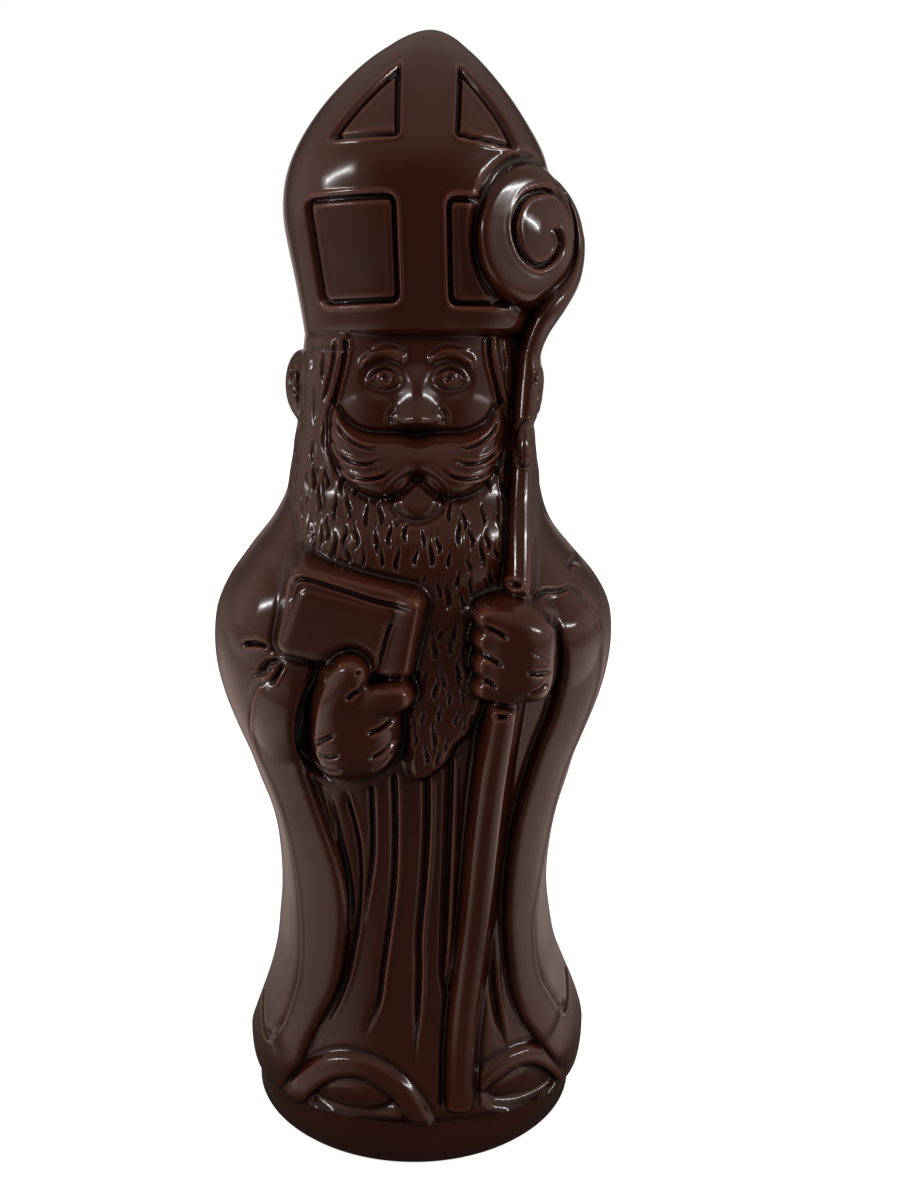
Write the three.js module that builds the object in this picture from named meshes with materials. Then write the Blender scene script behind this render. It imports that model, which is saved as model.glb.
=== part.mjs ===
// A moulded chocolate figure of a standing bishop with a book and a crozier, on a round plinth.
// It is one solid piece, shaped like its mould: a front half and a back half that meet at y = 0.
// Each half is a depth over the (x, z) plane, built up from soft layers, grooves and raised strokes.
// Units are millimetres, +Z is up, the face looks along -Y, and the origin is the middle of the foot.
import * as THREE from "three";

const CHOCOLATE = { color: 0x2a1610, roughness: 0.22, metalness: 0 };

// Overall heights
const PLINTH_HEIGHT = 12.5;
const PLINTH_RADIUS = 46.8;
const PLINTH_CHAMFER = 0.6;
const RIM_HEIGHT = 222.5;
const MITRE_WIDEST_HEIGHT = 255;
const TOP_HEIGHT = 300;

// The column under the robe, as [height, half width], [height, front depth] and [height, back depth]
const ROBE_HALF_WIDTH = [
  [12.5, 50.8], [28, 47.2], [44, 42], [64, 39.2], [84, 41.1], [104, 46.8],
  [124, 53.8], [140, 56], [152, 53.4], [164, 46], [174, 38.4], [184, 34],
];
const ROBE_FRONT = [
  [12.5, 46.6], [30, 43.5], [60, 39], [90, 39], [120, 41], [150, 40], [165, 35], [184, 22],
];
const ROBE_BACK = [
  [12.5, 50.8], [30, 46], [60, 39], [90, 41], [120, 45], [145, 45.5], [165, 39], [184, 26],
];
const ROBE_TOP_FADE = [180, 196];

// Head, hair and the top of the beard: one column between the shoulders and the mitre
const HEAD_HALF_WIDTH = [[150, 29], [170, 34], [184, 34.4], [200, 32.2], [212, 31.2], [224, 29.8]];
const HEAD_FRONT = [[150, 38], [165, 39.5], [185, 36.5], [200, 33.5], [224, 32.5]];
const HEAD_BACK = [[150, 30], [170, 34], [190, 34], [224, 31]];
const HEAD_SPAN = [150, 224];
const HEAD_POWER = 2.6;

// Mitre: a pointed dome whose half width swells from the rim and closes on the apex
const MITRE_WIDEST = 35;
const MITRE_RIM = 30.4;
const MITRE_FRONT_RATIO = 1.03;
const MITRE_POINT_POWER = 0.75;
const MITRE_APEX_X = 4.3;
const MITRE_BAND_X = 2.4;
const SECTION_POWER = 2.2;

// Ears
const EAR = { x: 30.4, z: 209, halfWidth: 5.6, halfHeight: 9, depth: 8 };

// Crozier: a snail-shaped head beside the mitre, and the shaft as [x, z, radius, how far it stands out]
const CROOK = { x: 29.3, z: 247.2, radius: 16.6, depth: 37, slope: 0.35, edge: 6, moat: 1.8 };
const CROOK_BACK_DEPTH = 12;
const SPIRAL = [
  [35.2, 247.5], [36.9, 244.2], [35.4, 239.9], [31.6, 238.4], [26.5, 241.6], [24.1, 248.4], [25.6, 254.4],
  [30.4, 257], [36.1, 254.6], [39.9, 248.4], [40.4, 243], [39.2, 238], [37, 234],
];
const SPIRAL_GROOVE = { width: 2, depth: 2.8 };
const CROOK_EDGE = [
  [213, 34], [218, 34], [223, 35.2], [229, 39], [234.5, 43.2], [240, 45.4], [247.2, 45.9],
];
const SHAFT = [
  [42.6, 241, 3.2, 4], [39, 232.5, 3.2, 8], [34.5, 225.5, 3.1, 9], [31.4, 219, 3.1, 8], [29.2, 209, 3, 7],
  [28, 196, 3, 7], [27, 180, 2.9, 7.5], [26.7, 160, 3, 7.5], [22.6, 128, 3.9, 5], [19.4, 104.5, 3.9, 4.6],
  [16.8, 71, 3.8, 4.4], [15, 54, 3.8, 4.4], [13, 35, 3.8, 4.4], [12.4, 17, 3.5, 4.4],
];
const SHAFT_GROOVE = { width: 1.5, depth: 1.5 };
const SHAFT_FOOT = 16.8;

// Mitre panels, sunk as framed grooves round raised plates
const PANEL = { grooveWidth: 1.8, grooveDepth: 2.4, corner: 2 };
const BAND_HALF_WIDTH = 5.6;
const LOWER_PANEL = { bottom: 229.4, top: 255.4, outerBottom: 25.6, outerTop: 29.4 };
const UPPER_PANEL = { bottom: 268.4, top: 288, outerBottom: 21.6, bulge: 2.6 };

// Cape edges beside the robe, as [height, x], and how far the cape stands out from the robe
const CAPE_LEFT = [
  [12, -39.5], [26, -31], [36, -25.4], [47, -20.8], [58, -18.6], [70, -17.6], [83, -19.5], [92, -22.6],
  [103, -26], [114, -29.4], [140, -34], [152, -33], [167, -28], [180, -33.8], [190, -37],
];
const CAPE_RIGHT = [
  [12, 45.5], [25, 37.7], [33, 31.8], [42, 28.4], [53, 25.6], [65, 24.5], [78, 24.9], [94, 26.7],
  [104, 29], [116, 32.4], [126, 36], [143, 37.5], [156, 31.5], [168, 30.2], [180, 34.4], [190, 38],
];
const CAPE_LIFT = 4.4;
const CAPE_ROUND = 4.5;

// Folds as [x, z] strokes
const CAPE_FOLDS = [
  [
    [-42.6, 128], [-43.3, 119], [-38.6, 104], [-34.2, 86], [-31.6, 66], [-32.2, 50], [-35.4, 36],
    [-41.5, 23],
  ],
  [
    [50.6, 131], [45.9, 118], [41.4, 106], [37.4, 86], [34, 66], [34, 53], [36.4, 42], [40.1, 34],
    [46.2, 23.5],
  ],
];
const ROBE_FOLDS = [
  [[-10.8, 108], [-11, 94], [-11.7, 84], [-13, 74]],
  [[-5, 112], [-4.9, 94], [-5.4, 79], [-7.4, 60], [-9.6, 44], [-14.4, 33]],
  [[3.8, 109], [3.6, 94], [2.8, 79], [1.6, 58], [1, 41], [-0.3, 24]],
  [[10, 114], [9.8, 94], [9.1, 74], [9.2, 56], [10.6, 44]],
  [[-23.6, 105], [-20.8, 95], [-18.4, 85], [-16.5, 74]],
  [[-18, 106], [-15.2, 95], [-14, 84], [-14.5, 70], [-17, 54]],
  [[-18.6, 43], [-21.4, 36], [-24.6, 29]],
  [[22, 46], [23.4, 38], [25.6, 28]],
];
const CAPE_FOLD = { width: 3.4, depth: 2.2 };
const ROBE_FOLD = { width: 2.1, depth: 2.3 };
const SHOULDER_CREASES = [
  [[29.5, 156.4], [33, 157.2], [38, 156.4], [43.4, 156.6]],
  [[41, 158.6], [45, 159.2], [49.5, 156.6]],
  [[42.8, 153.4], [47.6, 147.6], [49.4, 139], [47, 122]],
  [[-47.6, 139], [-42, 142], [-36.5, 142.8]],
  [[-43.6, 132.8], [-40, 137], [-35.8, 139.2]],
];
const CREASE = { width: 1.5, depth: 1.5 };

// Beard outline below the hair, and how far it stands out from the robe
const BEARD = [
  [-34, 190], [-29, 168], [-20, 152], [-9, 140], [-3, 128], [-1.6, 117], [-1, 110.8], [1.4, 109.4],
  [5, 111], [9, 115], [11, 119], [14, 122], [18.4, 130], [22, 145], [29, 160], [34, 190],
];
const BEARD_LIFT = 5;
const BEARD_ROUND = 3;

// Book: corners, the plane of its cover, the plate on the cover and the rounded spine
const BOOK = [[-28.6, 164.6], [1.2, 158], [-2.6, 135.5], [-36, 141.8]];
const BOOK_CORNER = 2.4;
const BOOK_PLATE = [[-27, 159.4], [-5.4, 154.8], [-10, 134], [-34, 141]];
const BOOK_FACE = { depth: 50, slopeX: 0.21, originX: -4, plate: 1.3, edge: 2.2 };
const BOOK_SPINE = { top: [-0.9, 158.4], bottom: [-5.2, 136.6], radius: 4.6, lift: 1.6 };
const BOOK_PAGES = { from: [-29, 163], to: [-1, 156.8], width: 1.1, depth: 1.2 };

// Hand on the book: palm, thumb and first finger
const PALM = { x: -15, z: 122.2, halfWidth: 11.4, halfHeight: 13, base: 43.5, dome: 10 };
const THUMB = { from: [-19.4, 130.5], to: [-15.4, 139.8], radius: 4.9, depth: 53.6 };
const FINGER = { from: [-14, 132.5], to: [-3.9, 133.8], radius: 4.2, depth: 54.4 };
const HAND_SHADOW = [
  [-22.6, 141], [-24.6, 137.4], [-28.2, 130], [-29.6, 122], [-28.2, 113.6], [-24, 107.2],
];
const SHADOW = { width: 2.4, depth: 3.4 };

// Fist round the shaft
const FIST = { x: 24.9, z: 144.6, halfWidth: 10.4, halfHeight: 13.6, base: 44, dome: 11 };
const FINGER_GROOVES = [
  [[-26.4, 120.4], [-19.9, 124.6]], [[-26, 117.6], [-18.4, 118.6]], [[-23.6, 114], [-17.9, 114.4]],
  [[-12, 125.2], [-4.6, 128.2]], [[-11.4, 118.6], [-4, 122]], [[-10.8, 114.4], [-5, 118]],
  [[15.6, 152.6], [23, 149.8]], [[14.2, 145.4], [21.6, 142.6]], [[15.2, 138.4], [20.6, 137]],
  [[28.4, 146], [34.4, 144.4]], [[27.4, 141], [34.8, 141]], [[28.4, 135.8], [34, 138]],
];
const FINGER_GROOVE = { width: 1.6, depth: 1.9 };

// Sleeves that swell beside the hands
const SLEEVES = [
  { x: -34, z: 126, halfWidth: 10, halfHeight: 17, lift: 3.6 },
  { x: 42, z: 137, halfWidth: 8, halfHeight: 20, lift: 3 },
];

// Robe raised in an arch over each shoe, and the shoes
const ARCHES = [
  [[-34, 14.5], [-28, 22.6], [-21, 27], [-13.5, 27.3], [-6.6, 24], [-0.4, 18.8], [3, 13.4]],
  [[17.6, 22.6], [22.6, 26], [29.5, 27], [35.4, 24.4], [40.6, 18.6]],
];
const ARCH = { radius: 3.5, lift: 3.4, sink: 0.6 };
const SHOES = [
  { x: -16.6, z: 13.6, halfWidth: 14.6, halfHeight: 9.8 },
  { x: 29.4, z: 13.8, halfWidth: 12.6, halfHeight: 9.4 },
];
const SHOE = { recess: 7, gap: 1.5, toe: 1.2, crown: 6.5, sole: 14.6 };

// Face: the eye line halfway up the head, one eye's width between the eyes, and equal thirds from
// hairline to brow, brow to nose base and nose base to chin
const FACE_X = 0.8;
const EYE_LINE = 211.5;
const EYE_WIDTH = 8;
const FACE_THIRD = 16;
const BROW_LINE = EYE_LINE + FACE_THIRD / 4;
const NOSE_BASE = BROW_LINE - FACE_THIRD;
const FACE_HALF_WIDTH = [[184, 20], [198, 22], [206, 21], [214, 18.6], [224, 17.6]];
const HAIR_LIFT = 1.6;
const SOCKET = { x: EYE_WIDTH, z: EYE_LINE, halfWidth: 6.4, halfHeight: 4.6, depth: 2.4 };
const EYE = { x: EYE_WIDTH, z: EYE_LINE, halfWidth: 3.9, halfHeight: 2.5, lift: 2.2 };
const BROW = { rise: 1.6, droop: 1, radius: 1.5, lift: 1.5 };
const NOSE = { bridge: 1.9, tip: 3.7, lift: 6.4, wing: 2.1 };
const CHEEK = { x: 12.5, z: 202.5, halfWidth: 7, halfHeight: 5.4, lift: 2 };
const MOUSTACHE = [[0.6, 196.4], [8, 193.2], [15.5, 194], [21.4, 199.6], [23.6, 205.4]];
const MOUSTACHE_RADII = [4.6, 6.6, 6.4, 4.2, 1.6];
const MOUSTACHE_LIFT = 5.4;
const LIP = { x: 0, z: 186.4, halfWidth: 6, halfHeight: 2.6, lift: 2 };

// Back: two ribbons hang from the mitre, and the cape falls in soft folds
const RIBBON = { x: 11, halfWidth: 5, bottom: 172, lift: 1.8 };
const BACK_FOLDS = { count: 5, depth: 1.5, bottom: [12, 30], top: [110, 150] };

// Steep sides lean out by this much depth for each millimetre, so that the figure leaves its mould
const DRAFT = 3;

// Mesh: the surface is sampled on GRID by GRID cells and triangles are spent where it curves most
const GRID = 512;
const TRIANGLES = 10900;
const RING_STEPS = 128;
const CAP_ROWS = 36;
const CAP_START = 292;
const SOFTEN_PASSES = 5;

// The least depth of each half, rounded to nothing at the parting line
const EDGE_DEPTH = 3;
const EDGE_POWER = 24;

const clamp = (v, low, high) => Math.min(high, Math.max(low, v));
const mix = (a, b, t) => a + (b - a) * t;

function smooth(low, high, v) {
  const t = clamp((v - low) / (high - low), 0, 1);
  return t * t * (3 - 2 * t);
}

// The larger of two values, rounded over a band of k where they are nearly equal
function blendMax(a, b, k) {
  const h = Math.max(k - Math.abs(a - b), 0) / k;
  return Math.max(a, b) + (h * h * k) / 4;
}

// A smooth curve through [position, value] knots, held level beyond its ends
function curve(knots, at) {
  const last = knots.length - 1;
  if (at <= knots[0][0]) return knots[0][1];
  if (at >= knots[last][0]) return knots[last][1];
  let i = 0;
  while (at > knots[i + 1][0]) i += 1;
  const slope = (a, b) => (knots[b][1] - knots[a][1]) / (knots[b][0] - knots[a][0]);
  const here = slope(i, i + 1);
  const before = i > 0 ? (slope(i - 1, i) + here) / 2 : here;
  const after = i + 1 < last ? (slope(i + 1, i + 2) + here) / 2 : here;
  const span = knots[i + 1][0] - knots[i][0];
  const t = (at - knots[i][0]) / span;
  const rise = knots[i + 1][1] - knots[i][1];
  return (
    knots[i][1] +
    rise * t * t * (3 - 2 * t) +
    span * t * (1 - t) * (before * (1 - t) - after * t)
  );
}

// A superellipse dome over half a section: 1 in the middle and 0 at the edge
function section(offset, power = SECTION_POWER) {
  const q = Math.min(Math.abs(offset), 1);
  return Math.pow(1 - Math.pow(q, power), 1 / power);
}

// 1 in the middle of an ellipse, falling to 0 at its edge as a round dome does
function dome(x, z, shape) {
  const q = ((x - shape.x) / shape.halfWidth) ** 2 + ((z - shape.z) / shape.halfHeight) ** 2;
  return q < 1 ? Math.sqrt(1 - q) : 0;
}

// A stroke along a smooth line through [x, z, ...values] points, ready for nearest()
function stroke(points) {
  const line = new THREE.CatmullRomCurve3(points.map(([x, z]) => new THREE.Vector3(x, 0, z)));
  const steps = (points.length - 1) * 6;
  const samples = [];
  for (let i = 0; i <= steps; i += 1) {
    const t = i / steps;
    const p = line.getPoint(t);
    const from = Math.min(Math.floor(t * (points.length - 1)), points.length - 2);
    const part = t * (points.length - 1) - from;
    const values = points[from].slice(2).map((v, k) => mix(v, points[from + 1][k + 2], part));
    samples.push({ x: p.x, z: p.z, values });
  }
  const xs = samples.map((s) => s.x);
  const zs = samples.map((s) => s.z);
  const box = [Math.min(...xs), Math.max(...xs), Math.min(...zs), Math.max(...zs)];
  return { samples, box };
}

// The distance from (x, z) to a stroke, how far along it is and its values there, or null beyond reach
function nearest(line, x, z, reach) {
  const [x0, x1, z0, z1] = line.box;
  if (x < x0 - reach || x > x1 + reach || z < z0 - reach || z > z1 + reach) return null;
  const { samples } = line;
  let best = Infinity;
  let along = 0;
  for (let i = 0; i + 1 < samples.length; i += 1) {
    const a = samples[i];
    const b = samples[i + 1];
    const dx = b.x - a.x;
    const dz = b.z - a.z;
    const t = clamp(((x - a.x) * dx + (z - a.z) * dz) / (dx * dx + dz * dz), 0, 1);
    const d = Math.hypot(x - a.x - t * dx, z - a.z - t * dz);
    if (d < best) {
      best = d;
      along = i + t;
    }
  }
  if (best > reach) return null;
  const i = Math.min(Math.floor(along), samples.length - 2);
  const values = samples[i].values.map((v, k) => mix(v, samples[i + 1].values[k], along - i));
  return { distance: best, along: along / (samples.length - 1), values };
}

// How deep a groove is at (x, z), from 0 to 1, running out softly at both ends
function groove(line, x, z, width) {
  const near = nearest(line, x, z, width);
  if (!near) return 0;
  const bell = (1 - (near.distance / width) ** 2) ** 2;
  return bell * smooth(0, 0.12, near.along) * smooth(0, 0.12, 1 - near.along);
}

// The signed distance from (x, z) to a closed outline, negative inside
function outlineDistance(points, x, z) {
  let best = Infinity;
  let inside = false;
  for (let i = 0, j = points.length - 1; i < points.length; j = i, i += 1) {
    const [ax, az] = points[i];
    const [bx, bz] = points[j];
    const dx = bx - ax;
    const dz = bz - az;
    const t = clamp(((x - ax) * dx + (z - az) * dz) / (dx * dx + dz * dz), 0, 1);
    best = Math.min(best, Math.hypot(x - ax - t * dx, z - az - t * dz));
    if (az > z !== bz > z && x < ((bx - ax) * (z - az)) / (bz - az) + ax) inside = !inside;
  }
  return inside ? -best : best;
}

// The height of a slab with a rounded edge: 0 on top, falling with the distance past the edge
function slabEdge(distance, round) {
  if (distance <= -round) return 0;
  if (distance >= 0) return -round - distance * DRAFT;
  return Math.sqrt(round * round - (distance + round) ** 2) - round;
}

// Mitre half width at a height
function mitreHalfWidth(z) {
  if (z < MITRE_WIDEST_HEIGHT) {
    const down = (MITRE_WIDEST_HEIGHT - z) / (MITRE_WIDEST_HEIGHT - RIM_HEIGHT);
    return MITRE_WIDEST - (MITRE_WIDEST - MITRE_RIM) * down ** 1.5;
  }
  const up = Math.min((z - MITRE_WIDEST_HEIGHT) / (TOP_HEIGHT - MITRE_WIDEST_HEIGHT), 1);
  return MITRE_WIDEST * (1 - up * up) ** MITRE_POINT_POWER;
}

// The mitre leans a little, so its middle moves towards the crozier near the apex
function mitreCentre(z) {
  return 0.6 + (MITRE_APEX_X - 0.6) * clamp((z - 262) / (TOP_HEIGHT - 262), 0, 1) ** 2;
}

function earReach(z) {
  const q = (z - EAR.z) / EAR.halfHeight;
  return Math.abs(q) < 1 ? EAR.x + EAR.halfWidth * Math.sqrt(1 - q * q) : 0;
}

function crookReach(z) {
  if (z < CROOK_EDGE[0][0]) return 0;
  if (z <= CROOK.z) return curve(CROOK_EDGE, z);
  const q = (z - CROOK.z) / CROOK.radius;
  return q < 1 ? CROOK.x + CROOK.radius * Math.sqrt(1 - q * q) : 0;
}

// The parting line: the left and right ends of the figure at a height
function outline(z) {
  if (z > RIM_HEIGHT) {
    const half = mitreHalfWidth(z);
    const centre = mitreCentre(z);
    return [centre - half, blendMax(centre + half, crookReach(z), 1)];
  }
  const half = blendMax(curve(HEAD_HALF_WIDTH, z), z < 186 ? curve(ROBE_HALF_WIDTH, z) : 0, 2);
  const column = z < 150 ? curve(ROBE_HALF_WIDTH, z) : half;
  const ear = earReach(z);
  return [-blendMax(column, ear, 1.5), blendMax(blendMax(column, ear, 1.5), crookReach(z), 1)];
}

// Depth of the robe and cape column
function robeColumn(x, z, depths) {
  const fade = 1 - smooth(ROBE_TOP_FADE[0], ROBE_TOP_FADE[1], z);
  return curve(depths, z) * section(x / curve(ROBE_HALF_WIDTH, z)) * fade;
}

// Depth of the head column, rounded in at its lower end
function headColumn(x, z, depths) {
  if (z < HEAD_SPAN[0] || z > HEAD_SPAN[1]) return 0;
  return curve(depths, z) * section(x / curve(HEAD_HALF_WIDTH, z), HEAD_POWER);
}

function mitreColumn(x, z) {
  const half = mitreHalfWidth(z);
  return half < 0.01 ? 0 : half * MITRE_FRONT_RATIO * section((x - mitreCentre(z)) / half);
}

const capeFoldLines = CAPE_FOLDS.map(stroke);
const robeFoldLines = ROBE_FOLDS.map(stroke);
const creaseLines = SHOULDER_CREASES.map(stroke);
const fingerGrooveLines = FINGER_GROOVES.map(stroke);
const handShadowLine = stroke(HAND_SHADOW);
const archLines = ARCHES.map(stroke);
const shaftLine = stroke(SHAFT);
const spiralLine = stroke(SPIRAL);
const bookPagesLine = stroke([BOOK_PAGES.from, BOOK_PAGES.to]);
const bookSpineLine = stroke([BOOK_SPINE.top, BOOK_SPINE.bottom]);
const thumbLine = stroke([THUMB.from, THUMB.to]);
const fingerLine = stroke([FINGER.from, FINGER.to]);
const moustacheSides = [-1, 1].map((side) =>
  stroke(MOUSTACHE.map(([x, z], i) => [FACE_X + side * x, z, MOUSTACHE_RADII[i]])),
);

// The cape stands out from the robe on both sides, with a rounded lip along its edges
function addCape(x, z, depth) {
  const past = Math.max(curve(CAPE_LEFT, z) - x, x - curve(CAPE_RIGHT, z)) * 0.94;
  const lip = past <= 0 ? 0 : past >= CAPE_ROUND ? 1 : Math.sqrt(1 - (1 - past / CAPE_ROUND) ** 2);
  const edge = section(x / curve(ROBE_HALF_WIDTH, z));
  let out = depth + CAPE_LIFT * lip * smooth(0, 0.75, edge) * (1 - smooth(176, 190, z));
  for (const line of capeFoldLines) {
    out -= CAPE_FOLD.depth * groove(line, x, z, CAPE_FOLD.width);
  }
  for (const line of creaseLines) out -= CREASE.depth * groove(line, x, z, CREASE.width);
  return out;
}

function addRobeFolds(x, z, depth) {
  let out = depth;
  for (const line of robeFoldLines) out -= ROBE_FOLD.depth * groove(line, x, z, ROBE_FOLD.width);
  return out;
}

function addSleeves(x, z, depth) {
  return SLEEVES.reduce((out, sleeve) => out + sleeve.lift * dome(x, z, sleeve) ** 2, depth);
}

// Below each arch the robe is cut back, and the shoe stands forward out of the gap
function addShoes(x, z, depth) {
  if (z > 34) return depth;
  let out = depth;
  const rim = Math.sqrt(Math.max(PLINTH_RADIUS ** 2 - x * x, 0));
  SHOES.forEach((shoe, i) => {
    const gap = ((x - shoe.x) / shoe.halfWidth) ** 2 + ((z - shoe.z) / (shoe.halfHeight + SHOE.gap)) ** 2;
    out -= SHOE.recess * (1 - smooth(0.75, 1.05, gap));
    const crown = dome(x, z, shoe);
    const line = Math.exp(-(((z - SHOE.sole) / 0.8) ** 2));
    if (crown > 0) out = Math.max(out, rim + SHOE.toe - SHOE.crown * (1 - crown) - line);
    const near = nearest(archLines[i], x, z, ARCH.radius);
    if (near) {
      const band = Math.sqrt(1 - (near.distance / ARCH.radius) ** 2);
      out = blendMax(out, depth + ARCH.lift * band - ARCH.sink, 0.8);
    }
  });
  return out;
}

function addBeard(x, z, depth) {
  if (z > 192 || z < 105) return depth;
  const lift = BEARD_LIFT + slabEdge(outlineDistance(BEARD, x, z), BEARD_ROUND);
  const fade = 1 - smooth(168, 186, z);
  return Math.max(depth, depth + Math.max(lift, 0) * fade);
}

function addBook(x, z, depth) {
  const distance = outlineDistance(BOOK, x, z) - BOOK_CORNER;
  if (distance > 5) return depth;
  const plane = BOOK_FACE.depth + BOOK_FACE.slopeX * (x - BOOK_FACE.originX);
  let face = plane + slabEdge(distance, BOOK_FACE.edge);
  const plate = outlineDistance(BOOK_PLATE, x, z);
  face += BOOK_FACE.plate * (1 - smooth(-0.6, 0.8, plate));
  const pages = nearest(bookPagesLine, x, z, BOOK_PAGES.width);
  if (pages) face -= BOOK_PAGES.depth * (1 - (pages.distance / BOOK_PAGES.width) ** 2);
  const spine = nearest(bookSpineLine, x, z, BOOK_SPINE.radius);
  if (spine) face += BOOK_SPINE.lift * Math.sqrt(1 - (spine.distance / BOOK_SPINE.radius) ** 2);
  return Math.max(depth, face);
}

// A finger or thumb: a round-ended stroke whose middle reaches the given depth
function digit(line, x, z, shape) {
  const near = nearest(line, x, z, shape.radius);
  if (!near) return 0;
  return shape.depth - shape.radius * (1 - Math.sqrt(1 - (near.distance / shape.radius) ** 2));
}

function addHand(x, z, depth) {
  let out = depth - SHADOW.depth * groove(handShadowLine, x, z, SHADOW.width);
  const palm = dome(x, z, PALM);
  if (palm > 0) out = Math.max(out, PALM.base + PALM.dome * Math.sqrt(palm));
  out = blendMax(out, digit(thumbLine, x, z, THUMB), 1);
  return blendMax(out, digit(fingerLine, x, z, FINGER), 1);
}

function addFist(x, z, depth) {
  const across = Math.abs((x - FIST.x) / FIST.halfWidth);
  const up = Math.abs((z - FIST.z) / FIST.halfHeight);
  const q = across ** 3 + up ** 3;
  return q < 1 ? Math.max(depth, FIST.base + FIST.dome * Math.sqrt(1 - q)) : depth;
}

function addFingerGrooves(x, z, depth) {
  let out = depth;
  for (const line of fingerGrooveLines) {
    out -= FINGER_GROOVE.depth * groove(line, x, z, FINGER_GROOVE.width);
  }
  return out;
}

// The shaft stands out from the plain column under it, between two narrow grooves
function addShaft(x, z, depth, under) {
  if (z < SHAFT_FOOT) return depth;
  const near = nearest(shaftLine, x, z, 6);
  if (!near) return depth;
  const [radius, lift] = near.values;
  const past = near.distance - radius;
  const moat = SHAFT_GROOVE.depth * (1 - smooth(0, SHAFT_GROOVE.width, past));
  const round = Math.sqrt(Math.max(1 - (near.distance / radius) ** 2, 0));
  return Math.max(depth - moat, under + lift - radius * (1 - round) - DRAFT * Math.max(past, 0));
}

// The crozier's head: a domed disc with a spiral groove wound towards its middle
function addCrook(x, z, depth) {
  const r = Math.hypot(x - CROOK.x, z - CROOK.z);
  if (r > CROOK.radius + 4) return depth;
  const moat = CROOK.moat * (1 - smooth(CROOK.radius, CROOK.radius + 2, r));
  const plane = CROOK.depth - CROOK.slope * (x - CROOK.x + CROOK.radius);
  const face = plane + slabEdge(r - CROOK.radius, CROOK.edge);
  const winding = SPIRAL_GROOVE.depth * groove(spiralLine, x, z, SPIRAL_GROOVE.width);
  return Math.max(depth - moat, face - winding);
}

// The mitre's four framed panels, mirrored in the vertical band
function addPanels(x, z, depth) {
  if (z < LOWER_PANEL.bottom - 3) return depth;
  const side = Math.abs(x - bandCentre(z));
  const lower = lowerPanelDistance(side, z);
  const upper = upperPanelDistance(side, z);
  const distance = Math.min(lower, upper);
  const line = Math.abs(distance + PANEL.grooveWidth) / PANEL.grooveWidth;
  return line < 1 ? depth - PANEL.grooveDepth * (1 - line * line) ** 2 : depth;
}

function bandCentre(z) {
  return MITRE_BAND_X + (MITRE_APEX_X - MITRE_BAND_X) * smooth(250, TOP_HEIGHT, z);
}

function lowerPanelDistance(side, z) {
  const up = (z - LOWER_PANEL.bottom) / (LOWER_PANEL.top - LOWER_PANEL.bottom);
  const outer = mix(LOWER_PANEL.outerBottom, LOWER_PANEL.outerTop, up);
  return roundedMax([BAND_HALF_WIDTH - side, side - outer, LOWER_PANEL.bottom - z, z - LOWER_PANEL.top]);
}

function upperPanelDistance(side, z) {
  const up = (z - UPPER_PANEL.bottom) / (UPPER_PANEL.top - UPPER_PANEL.bottom);
  const bulge = UPPER_PANEL.bulge * Math.sin(Math.PI * clamp(up, 0, 1));
  const outer = mix(UPPER_PANEL.outerBottom, BAND_HALF_WIDTH, up) + bulge;
  return roundedMax([BAND_HALF_WIDTH - side, (side - outer) * 0.75, UPPER_PANEL.bottom - z]);
}

// The distance outside a shape with straight sides, with its corners rounded
function roundedMax(sides) {
  const outside = sides.map((s) => Math.max(s + PANEL.corner, 0));
  const inside = Math.min(Math.max(...sides) + PANEL.corner, 0);
  return Math.hypot(...outside) + inside - PANEL.corner;
}

// The face: hair beside it, eye sockets, eyes, brows, nose, cheeks, moustache and lip
function addFace(x, z, depth) {
  if (z < 178 || z > RIM_HEIGHT) return depth;
  const across = Math.abs(x - FACE_X);
  const hairline = smooth(-1, 1.2, across - curve(FACE_HALF_WIDTH, z));
  let out = depth + HAIR_LIFT * (hairline - 1) * smooth(184, 194, z) * section(x / 32);
  out -= SOCKET.depth * dome(across, z, SOCKET) ** 2;
  out += EYE.lift * dome(across, z, EYE);
  out += browHeight(across, z) + noseHeight(across, z);
  out += CHEEK.lift * dome(across, z, CHEEK) ** 2;
  out += LIP.lift * dome(across, z, LIP);
  return addMoustache(x, z, out);
}

function browHeight(across, z) {
  const along = (across - EYE_WIDTH) / (EYE_WIDTH * 0.72);
  if (Math.abs(along) > 1.15) return 0;
  const middle = BROW_LINE + 0.8 + BROW.rise * (1 - along * along) - BROW.droop * Math.max(along, 0);
  const q = Math.max(Math.abs(z - middle) / BROW.radius, Math.abs(along) ** 6);
  return q < 1 ? BROW.lift * Math.sqrt(1 - q * q) : 0;
}

function noseHeight(across, z) {
  const up = clamp((z - NOSE_BASE) / (BROW_LINE - NOSE_BASE), -0.3, 1);
  const half = mix(NOSE.tip, NOSE.bridge, smooth(0, 0.6, up)) + 1.6;
  const ridge = Math.max(1 - (across / half) ** 2, 0);
  const rise = mix(NOSE.lift, 1.2, clamp(up, 0, 1) ** 0.8) * smooth(-0.14, 0.1, up);
  const wing = NOSE.wing * dome(across, z, { x: 3.1, z: NOSE_BASE + 2.4, halfWidth: 2, halfHeight: 2.4 });
  return Math.max(rise * ridge * smooth(1.2, 0.85, up), wing);
}

function addMoustache(x, z, depth) {
  let out = depth;
  for (const line of moustacheSides) {
    const near = nearest(line, x, z, 7);
    if (!near || near.distance >= near.values[0]) continue;
    const round = Math.sqrt(1 - (near.distance / near.values[0]) ** 2);
    out = Math.max(out, depth + MOUSTACHE_LIFT * round * Math.min(near.values[0] / 5, 1));
  }
  return out;
}

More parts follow.
